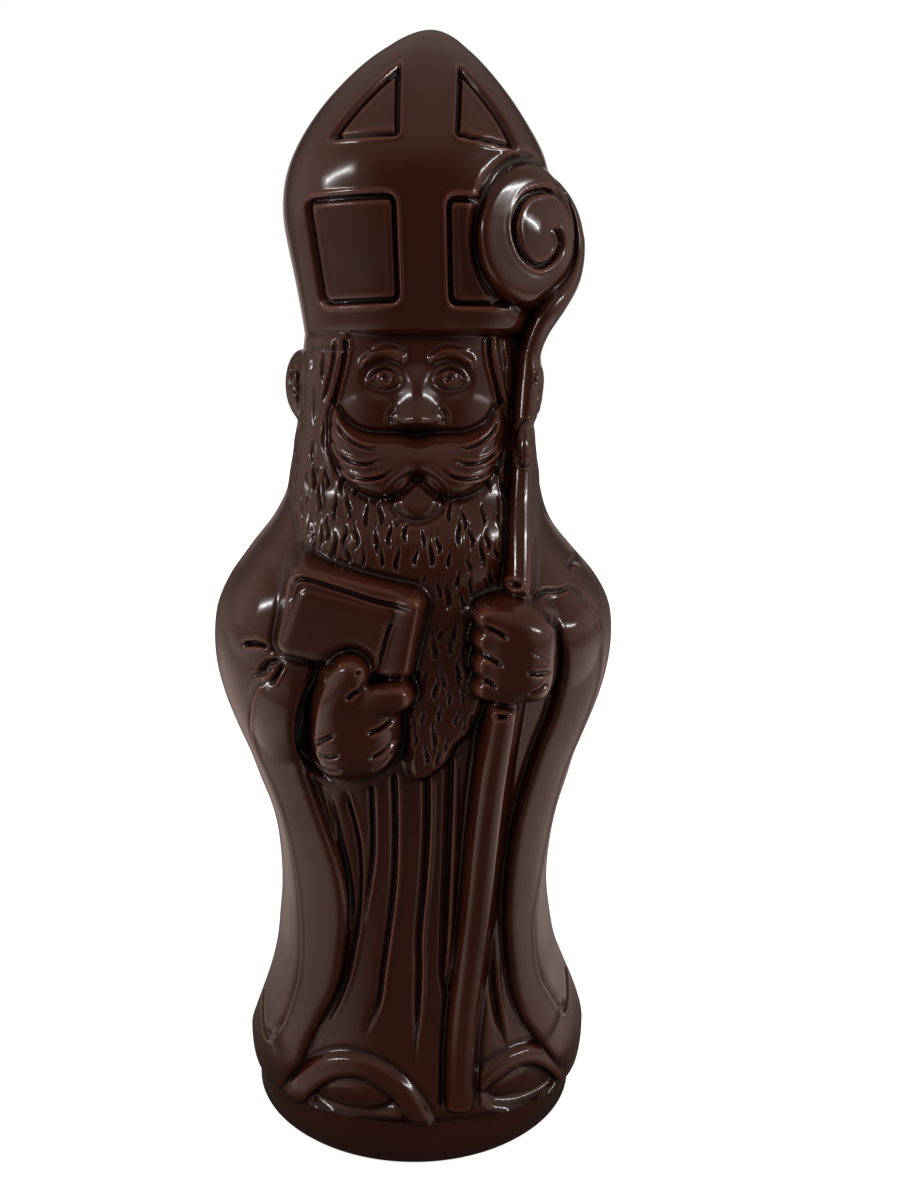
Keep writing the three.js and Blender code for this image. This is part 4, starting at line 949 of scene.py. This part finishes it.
def lattice(shape):
    """A staggered, jittered lattice of places for strands."""
    random = np.random.default_rng(shape.seed)
    low, high, step_x, step_z = shape.low, shape.high, shape.step_x, shape.step_z
    for row, height in enumerate(np.arange(low[1], high[1], step_z)):
        for x in np.arange(low[0] + (row % 2) * step_x / 2, high[0], step_x):
            aside, up, bend, stretch = random.uniform(-1, 1, 4)
            yield x + aside * step_x * JITTER[0], height + up * step_z * JITTER[1], bend, stretch


def waved(x, z, length, lean, sway):
    """A strand's S-shaped line from its top down to (x, z)."""
    return [[x - lean * leans + sway * sways, z + length * up] for leans, sways, up in WAVE]


def hair_zones(x, z):
    """Where the beard's and the side hair's strands run, 0 to 1."""
    room = STRAND_ROOM
    free = np.ones(x.shape)
    for points in (stroke(HAND, 4, closed=True), stroke(FIST, 4, closed=True), rounded(BOOK, BOOK_CORNER)):
        free *= smooth(0, room.hands_fade, outline_distance(points, x, z) - room.hands)
    free *= smooth(0, room.fade, outline_distance(moustache_outline(), x, z) - room.moustache)
    free *= smooth(*room.lip, np.sqrt(ellipse(x - FACE_X, z, LIP)))
    n = Near(stroke(SHAFT), x, z, SHAFT_FORM.reach)
    free[n.at] *= smooth(0, room.fade, n.distance - n.values[0] - room.staff)
    half = curve(HEAD_HALF_WIDTH, z)
    in_beard = smooth(0, room.fade, -outline_distance(BEARD, x, z) - room.beard_edge)
    start, end = room.beard_side
    beard = free * in_beard * smooth(half - start, half - end, np.abs(x)) * (z < BEARD_FORM.top)
    inner = np.where(z > room.face_foot, curve(FACE_HALF_WIDTH, z) + room.face, room.cheek)
    beside_face = smooth(0, room.fade, np.abs(x - FACE_X) - inner)
    off_cape = (past_cape_edge(x, z) < room.cape) | (z > room.cape_top)
    return beard, free * beside_face * (z < RIM_HEIGHT - room.rim) * off_cape


def add_strands(relief, hair):
    """Strands that sway to either side and lean outwards, longer and shorter at random."""
    for x, z, bend, stretch in lattice(hair):
        length = hair.length * (1 + hair.length_spread * stretch)
        lean = hair.fan * (x - FAN_MIDDLE[0]) * max(z - FAN_MIDDLE[1], 0)
        sway = hair.sway * (hair.least_bend + abs(bend)) * np.sign(bend)
        half_width = hair.half_width * (1 + hair.width_spread * stretch)
        relief.strand(waved(x, z, length, lean, sway), half_width, hair.depth)


def add_mitre_relief(relief):
    """The mitre's panels, up to the gap round the crook's disc, and the spiral on the disc."""
    off_disc = off_crook(relief.x, relief.z) - CROOK.radius
    relief.zone = smooth(MOAT.floor, MOAT.width, off_disc)
    for points, corner in zip(PANELS, PANEL_CORNERS):
        relief.panel(points, corner)
    relief.zone = smooth(0, -1, off_disc)
    for first, end, *size in SPIRAL_GROOVES:
        relief.groove(SPIRAL[first:end], *size)


def add_face_relief(relief, side):
    """The fine grooves on one side of the face."""
    for points in WHISKERS:
        relief.groove(to_side(points, side), *GROOVES.whisker)
    for line, points, half_width, depth in FACE_LINES:
        relief.groove(to_side(over(points, line), side), half_width, depth, **FACE_LINE)
    relief.pit(FACE_X + side * EYE_WIDTH, PUPIL.z, PUPIL.radius, PUPIL.radius, PUPIL.depth)
    heights = LOCK.heights
    across = curve(FACE_HALF_WIDTH, np.array(heights)) + LOCK.beyond
    relief.groove(to_side(zip(across, heights), side), *GROOVES.lock)
    relief.groove(to_side(zip(across + LOCK.outer, heights), side), *GROOVES.outer_lock)
    relief.groove([[side * x, z] for x, z in EAR_LOOP], *GROOVES.ear)


def to_side(points, side):
    """Points of the right side of the face, carried over to either side."""
    return [[FACE_X + side * x, z] for x, z in points]


def add_front_relief(relief):
    add_mitre_relief(relief)
    relief.zone = np.ones(relief.x.shape)
    for points, ends in zip(ROBE_FOLDS, ROBE_FOLD_ENDS):
        relief.fold(points, ROBE_FOLD, ends)
    relief.groove(INNER_FOLD, *GROOVES.inner_fold)
    for points, mirrored in zip(CAPE_FOLDS, (False, True)):
        relief.fold(points, CAPE_FOLD, CAPE_FOLD_ENDS, mirrored)
    for points in HEM_TIPS:
        relief.groove(points, *GROOVES.hem_tip)
    for points, half_width, depth in CREASES:
        relief.groove(points, half_width, depth * CREASE.deepen, rim=CREASE.rim)
    relief.groove(BOOK_PAGES, *GROOVES.pages)
    for side in (-1, 1):
        add_face_relief(relief, side)
    relief.groove(COLLAR_LINE + COLLAR_LINE[:1], *GROOVES.collar)
    for pit in PITS:
        relief.pit(*pit)
    for zone, hair in zip(hair_zones(relief.x, relief.z), (BEARD_HAIR, HAIR)):
        relief.zone = zone
        add_strands(relief, hair)


# Surface
def row_heights():
    starts = [start for start, step in ROW_STEPS]
    parts = []
    for (start, step), end in zip(ROW_STEPS, starts[1:] + [CAP_START]):
        parts.append(np.linspace(start, end, round((end - start) / (step * QUICK)), endpoint=False))
    left = np.linspace(1, 0, CAP_ROWS)
    parts.append(TOP_HEIGHT - (TOP_HEIGHT - CAP_START) * left ** (1 / CAP_POWER))
    return np.concatenate(parts)


def grid_turns():
    front = np.linspace(0, np.pi, round(FRONT_COLUMNS / QUICK), endpoint=False)
    back = np.linspace(np.pi, 2 * np.pi, round(BACK_COLUMNS / QUICK), endpoint=False)
    return np.concatenate((front, back)), len(front)


def softened(values):
    """Takes the finest steps out of a grid that is closed across and open up."""
    for _ in range(SOFTEN_PASSES):
        values = (np.roll(values, 1, 1) + 2 * values + np.roll(values, -1, 1)) / 4
        values[1:-1] = (values[:-2] + 2 * values[1:-1] + values[2:]) / 4
    return values


def base_points(turn, heights, front_columns):
    """The grid of surface points, before the fine carving."""
    s, z = np.meshgrid(-np.cos(turn), heights)
    left, right = outline(z)
    x = (left + right) / 2 + (right - left) / 2 * s
    side = np.sin(turn)
    edge = np.sqrt(1 - np.abs(s) ** EDGE_POWER)
    y = np.zeros(z.shape)
    for relief, columns in ((front_depth, slice(0, front_columns)), (back_depth, slice(front_columns, None))):
        across = x[:, columns]
        depth = relief(across.ravel(), z[:, columns].ravel()).reshape(across.shape)
        thin = np.minimum(EDGE_DEPTH, (right - left)[:, columns] / 2)
        y[:, columns] = np.maximum(depth * edge[:, columns], thin * np.abs(side[columns]))
    y = softened(y * -np.sign(side))
    y[:, [0, front_columns]] = 0
    return np.stack((x, y, z), axis=2)


def grid_normals(points):
    across = np.roll(points, -1, axis=1) - np.roll(points, 1, axis=1)
    up = np.gradient(points, axis=0)
    normal = np.cross(across, up)
    return normal / np.maximum(np.linalg.norm(normal, axis=2, keepdims=True), 1e-9)


def add_wrap(mesh, columns, rows):
    """Texture coordinates: once round the figure, and up its rows."""
    corners = np.empty(len(mesh.loops), int)
    mesh.loops.foreach_get("vertex_index", corners)
    across = (corners % columns) / columns
    up = corners // columns / rows
    starts = np.empty(len(mesh.polygons), int)
    totals = np.empty(len(mesh.polygons), int)
    mesh.polygons.foreach_get("loop_start", starts)
    mesh.polygons.foreach_get("loop_total", totals)
    face = np.repeat(np.arange(len(starts)), totals)
    last = np.zeros(len(starts), bool)
    np.logical_or.at(last, face, across > 1 - 1.5 / columns)
    across = np.where(last[face] & (across < 0.5), across + 1, across) * columns / (columns + 1)
    uv = mesh.uv_layers.new(name="OFBake")
    uv.data.foreach_set("uv", np.stack((across, np.minimum(up, 1)), 1).ravel())


def blurred(values, steps, axis):
    """A moving average over 2 * steps + 1 places, wrapping round past the ends of the axis."""
    out = values.copy()
    for step in range(1, steps + 1):
        for shift in (-step, step):
            out += np.roll(values, shift, axis)
    return out / (2 * steps + 1)


def cavity_map_for_painted_shade(points):
    """How far each point stands proud of its surroundings, in mm: below 0 in grooves, above 0 on rims."""
    smoothed = points
    for axis, steps in ((1, PAINTED_SHADE_CAVITY.columns), (0, PAINTED_SHADE_CAVITY.rows)):
        for repeat in range(PAINTED_SHADE_CAVITY.repeats):
            smoothed = blurred(smoothed, steps, axis)
    proud = ((points - smoothed) * grid_normals(smoothed)).sum(2)
    # Painted shade: the rows along the hem are set dark, as if in shade under the hem's overhang
    proud[: PAINTED_SHADE_CAVITY.rows * 2] = PAINTED_SHADE_CAVITY.hem
    proud[-PAINTED_SHADE_CAVITY.rows * 3:] = 0
    return proud


def figure_points(turn, heights, front_columns):
    """The grid of surface points, with the fine relief in its front."""
    points = base_points(turn, heights, front_columns)
    front = slice(1, front_columns)
    relief = Relief(points[:, front, 0].ravel(), points[:, front, 2].ravel())
    add_front_relief(relief)
    offset = relief.offset().reshape(points[:, front, 0].shape) * smooth(0, RELIEF_FULL, np.sin(turn[front]))
    points[:, front] += grid_normals(points)[:, front] * offset[..., None]
    return points


def plinth_rings(turn):
    """The rings of the plinth, from its foot up to the hem."""
    front_radius = np.where(np.sin(turn) > 0, PLINTH_FRONT_RADIUS, PLINTH_RADIUS)
    rings = []
    for inset, z in ((PLINTH_CHAMFER, 0), (0, PLINTH_CHAMFER), (0, PLINTH_HEIGHT / 2), (0, PLINTH_HEIGHT)):
        x = (inset - PLINTH_RADIUS) * np.cos(turn)
        y = (inset - front_radius) * np.sin(turn)
        rings.append(np.stack((x, y, np.full(turn.shape, z)), axis=1))
    return rings


def closed_faces(columns, rows):
    """Quads between the rings, and a fan of triangles at the top and at the foot."""
    i = np.arange(columns)
    after = (i + 1) % columns
    low = np.arange(rows - 1)[:, None] * columns
    quads = np.stack((low + i, low + after, low + columns + after, low + columns + i), axis=2).reshape(-1, 4)
    top = (rows - 1) * columns
    apex = np.full(columns, rows * columns)
    fan = np.stack((top + i, top + after, apex), axis=1)
    base = np.stack((after, i, apex + 1), axis=1)
    return quads.tolist() + fan.tolist() + base.tolist()


def build_figure():
    """The figure's mesh: the plinth's rings, the grid, the apex and the middle of the foot."""
    turn, front_columns = grid_turns()
    points = figure_points(turn, row_heights(), front_columns)
    rings = plinth_rings(turn)
    columns = len(turn)
    rows = len(rings) + len(points) - 1
    ends = (points[-1].mean(0), np.zeros(3))
    vertices = np.vstack((*rings, points[:-1].reshape(-1, 3), *ends))
    faces = closed_faces(columns, rows)
    mesh = bpy.data.meshes.new("chocolate_body")
    mesh.from_pydata((vertices * MM).tolist(), [], faces)
    mesh.polygons.foreach_set("use_smooth", np.ones(len(faces), bool))
    edges = np.empty(len(mesh.edges) * 2, int)
    mesh.edges.foreach_get("vertices", edges)
    ring = edges.reshape(-1, 2) // columns
    at_hem = np.isin(ring[:, 0], (len(rings) - 1, len(rings)))
    mesh.edges.foreach_set("use_edge_sharp", (ring[:, 0] == ring[:, 1]) & at_hem)
    # The cavity values, which paint shade into grooves and a highlight onto rims in the chocolate's colour
    proud = np.zeros(len(vertices))
    proud[len(rings) * columns : rows * columns] = cavity_map_for_painted_shade(points)[:-1].ravel()
    mesh.attributes.new("painted_shade_cavity", "FLOAT", "POINT").data.foreach_set("value", proud)
    add_wrap(mesh, columns, rows)
    return add_object("chocolate_body", mesh)


def add_object(name, data):
    thing = bpy.data.objects.new(name, data)
    bpy.context.collection.objects.link(thing)
    return thing


# Shader nodes
def feed(tree, node, inputs):
    """Sets a node's inputs, by name or place: a value as it is, a socket by a link."""
    for name, value in inputs.items():
        socket = node.inputs[name]
        if isinstance(value, bpy.types.NodeSocket):
            tree.links.new(value, socket)
        else:
            socket.default_value = value


def add_node(tree, kind, *places, operation=None, **names):
    """A shader node, with inputs given in order or by name."""
    node = tree.nodes.new("ShaderNode" + kind)
    if operation:
        node.operation = operation
    feed(tree, node, dict(enumerate(places)))
    feed(tree, node, names)
    return node


def calculated(tree, operation, total, *values):
    """The first value combined with each further one."""
    for value in values:
        total = add_node(tree, "Math", total, value, operation=operation).outputs[0]
    return total


def remapped(tree, value, span, result=(0, 1), soft=False):
    """A value carried over from one span to another, and held level beyond it."""
    node = add_node(tree, "MapRange", value, *span, *result)
    node.interpolation_type = "SMOOTHSTEP" if soft else "LINEAR"
    return node.outputs[0]


def wall(tree, level, strength, span):
    """Light that sets in over a span of a level."""
    return remapped(tree, level, span, (0, strength), soft=True)


def ramp(tree, factor, stops):
    node = add_node(tree, "ValToRGB", Fac=factor)
    elements = node.color_ramp.elements
    while len(elements) < len(stops):
        elements.new(0.5)
    for element, (position, colour) in zip(elements, stops):
        element.position = position
        element.color = (*colour, 1)
    return node.outputs["Color"]


def chocolate_material():
    """Tempered dark chocolate with painted shade near black in grooves and a painted red-brown highlight on
    rims; faintly mottled, softly glossy.
    """
    material = bpy.data.materials.new("dark_chocolate")
    material.use_nodes = True
    tree = material.node_tree
    place = add_node(tree, "TexCoord").outputs["Object"]
    painted_shade_cavity = add_node(tree, "Attribute")
    painted_shade_cavity.attribute_name = "painted_shade_cavity"
    # Painted shade and highlight: the colour runs from near black in grooves to red-brown on rims, by the
    # cavity attribute
    tint = ramp(tree, remapped(tree, painted_shade_cavity.outputs["Fac"], (-PAINTED_SHADE_CAVITY.scale, PAINTED_SHADE_CAVITY.scale)), CHOCOLATE_PAINTED_SHADE_RAMP)
    mottle = add_node(tree, "TexNoise", Vector=place, **MOTTLE).outputs["Fac"]
    shade = remapped(tree, mottle, MOTTLE_SPAN, (1 - MOTTLE_SHARE, 1 + MOTTLE_SHARE))
    uneven = add_node(tree, "TexNoise", Vector=place, **UNEVEN).outputs["Fac"]
    inputs = {
        "Base Color": add_node(tree, "VectorMath", tint, operation="SCALE", Scale=shade).outputs[0],
        "Roughness": remapped(tree, mottle, MOTTLE_SPAN, GLOSS),
        "Normal": add_node(tree, "Bump", Height=uneven, **UNEVEN_BUMP).outputs["Normal"],
        "IOR": IOR,
    }
    feed(tree, tree.nodes["Principled BSDF"], inputs)
    return material


def directions(tree, direction):
    """How far a direction points to either side, 0 to 1, and how far back and up."""
    parts = add_node(tree, "SeparateXYZ", direction)
    across = add_node(tree, "Math", parts.outputs["X"], operation="ABSOLUTE")
    return across.outputs[0], parts.outputs["Y"], parts.outputs["Z"]


# Studio
def floor_material():
    """White for the camera; what the figure reflects of it is dark in front and light at both sides."""
    material = bpy.data.materials.new("floor")
    material.use_nodes = True
    tree = material.node_tree
    seen = add_node(tree, "LightPath").outputs["Is Camera Ray"]
    tint = add_node(tree, "Mix")
    tint.data_type = "RGBA"
    feed(tree, tint, {"A": ROOM_TINT, "B": WHITE, "Factor": seen})
    place = add_node(tree, "TexCoord").outputs["Object"]
    aside = directions(tree, add_node(tree, "VectorMath", place, operation="NORMALIZE").outputs[0])[0]
    away = add_node(tree, "VectorMath", place, operation="LENGTH").outputs["Value"]
    side = wall(tree, aside, FLOOR_SIDE.strength, ROOM.side_span)
    near = wall(tree, away, 1, FLOOR_SIDE.near)
    far = wall(tree, away, FLOOR_SIDE.far_share, FLOOR_SIDE.far)
    unseen = calculated(tree, "SUBTRACT", 1, seen)
    side = calculated(tree, "MULTIPLY", side, calculated(tree, "SUBTRACT", near, far), unseen)
    inputs = {
        "Base Color": remapped(tree, seen, (0, 1), FLOOR_SHADE),
        "Roughness": 1,
        "Specular IOR Level": 0,
        "Emission Color": tint.outputs["Result"],
        "Emission Strength": calculated(tree, "ADD", side, calculated(tree, "MULTIPLY", seen, FLOOR_GLOW)),
    }
    feed(tree, tree.nodes["Principled BSDF"], inputs)
    return material


def add_floor():
    mesh = bpy.data.meshes.new("floor")
    r = FLOOR_SIZE
    mesh.from_pydata([(-r, -r, 0), (r, -r, 0), (r, r, 0), (-r, r, 0)], [], [(0, 1, 2, 3)])
    mesh.materials.append(floor_material())
    add_object("floor", mesh)


def add_camera():
    data = bpy.data.cameras.new("camera")
    data.sensor_fit = "VERTICAL"
    data.sensor_height = CAMERA.sensor
    data.lens = CAMERA.lens
    data.shift_x = (PHOTO.width / 2 - PHOTO.middle) / PHOTO.height
    camera = add_object("camera", data)
    camera.location = CAMERA.place
    camera.rotation_euler = (math.radians(90 - CAMERA.down), 0, 0)
    bpy.context.scene.camera = camera


def add_lamp(side, size, power):
    """A strip on one side, rolled so that its glints slant."""
    data = bpy.data.lights.new("lamp", "AREA")
    data.shape = "RECTANGLE"
    data.size, data.size_y = size
    data.energy = power
    light = add_object("lamp", data)
    light.location = (side * LAMP.x, LAMP.y, LAMP.z)
    aim = Vector(LAMP.target) - light.location
    turned = aim.to_track_quat("-Z", "Y") @ Quaternion((0, 0, 1), math.radians(side * LAMP.roll))
    light.rotation_euler = turned.to_euler()


def add_world():
    """White behind the figure, and a dim room with light walls to both sides and a light ceiling."""
    world = bpy.data.worlds.new("studio")
    bpy.context.scene.world = world
    world.use_nodes = True
    tree = world.node_tree
    path = add_node(tree, "LightPath")
    across, back, up = directions(tree, add_node(tree, "TexCoord").outputs["Generated"])
    below = calculated(tree, "SUBTRACT", 1, wall(tree, up, 1, ROOM.ceiling_span))
    beside = calculated(tree, "SUBTRACT", 1, wall(tree, back, BEHIND.dim, BEHIND.dim_span))
    walls = wall(tree, across, ROOM.side, ROOM.side_span)
    lights = (
        calculated(tree, "MULTIPLY", walls, below, beside),
        wall(tree, back, BEHIND.glow, BEHIND.glow_span),
        wall(tree, up, ROOM.ceiling, ROOM.ceiling_span),
        calculated(tree, "MULTIPLY", path.outputs["Is Diffuse Ray"], SOFT_FILL),
        ROOM.front,
    )
    room = tree.nodes["Background"]
    feed(tree, room, {"Color": ROOM_TINT, "Strength": calculated(tree, "ADD", *lights)})
    white = add_node(tree, "Background", WHITE)
    mixer = add_node(tree, "MixShader", path.outputs["Is Camera Ray"], room.outputs[0], white.outputs[0])
    feed(tree, tree.nodes["World Output"], {"Surface": mixer.outputs[0]})


body = build_figure()
body.data.materials.append(chocolate_material())
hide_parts("chocolate_figure")
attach(body, "root")
add_floor()
add_world()
for side in (-1, 1):
    for *size, power in STRIPS:
        add_lamp(side, size, power)
add_camera()
bpy.context.scene.view_settings.view_transform = "Standard"
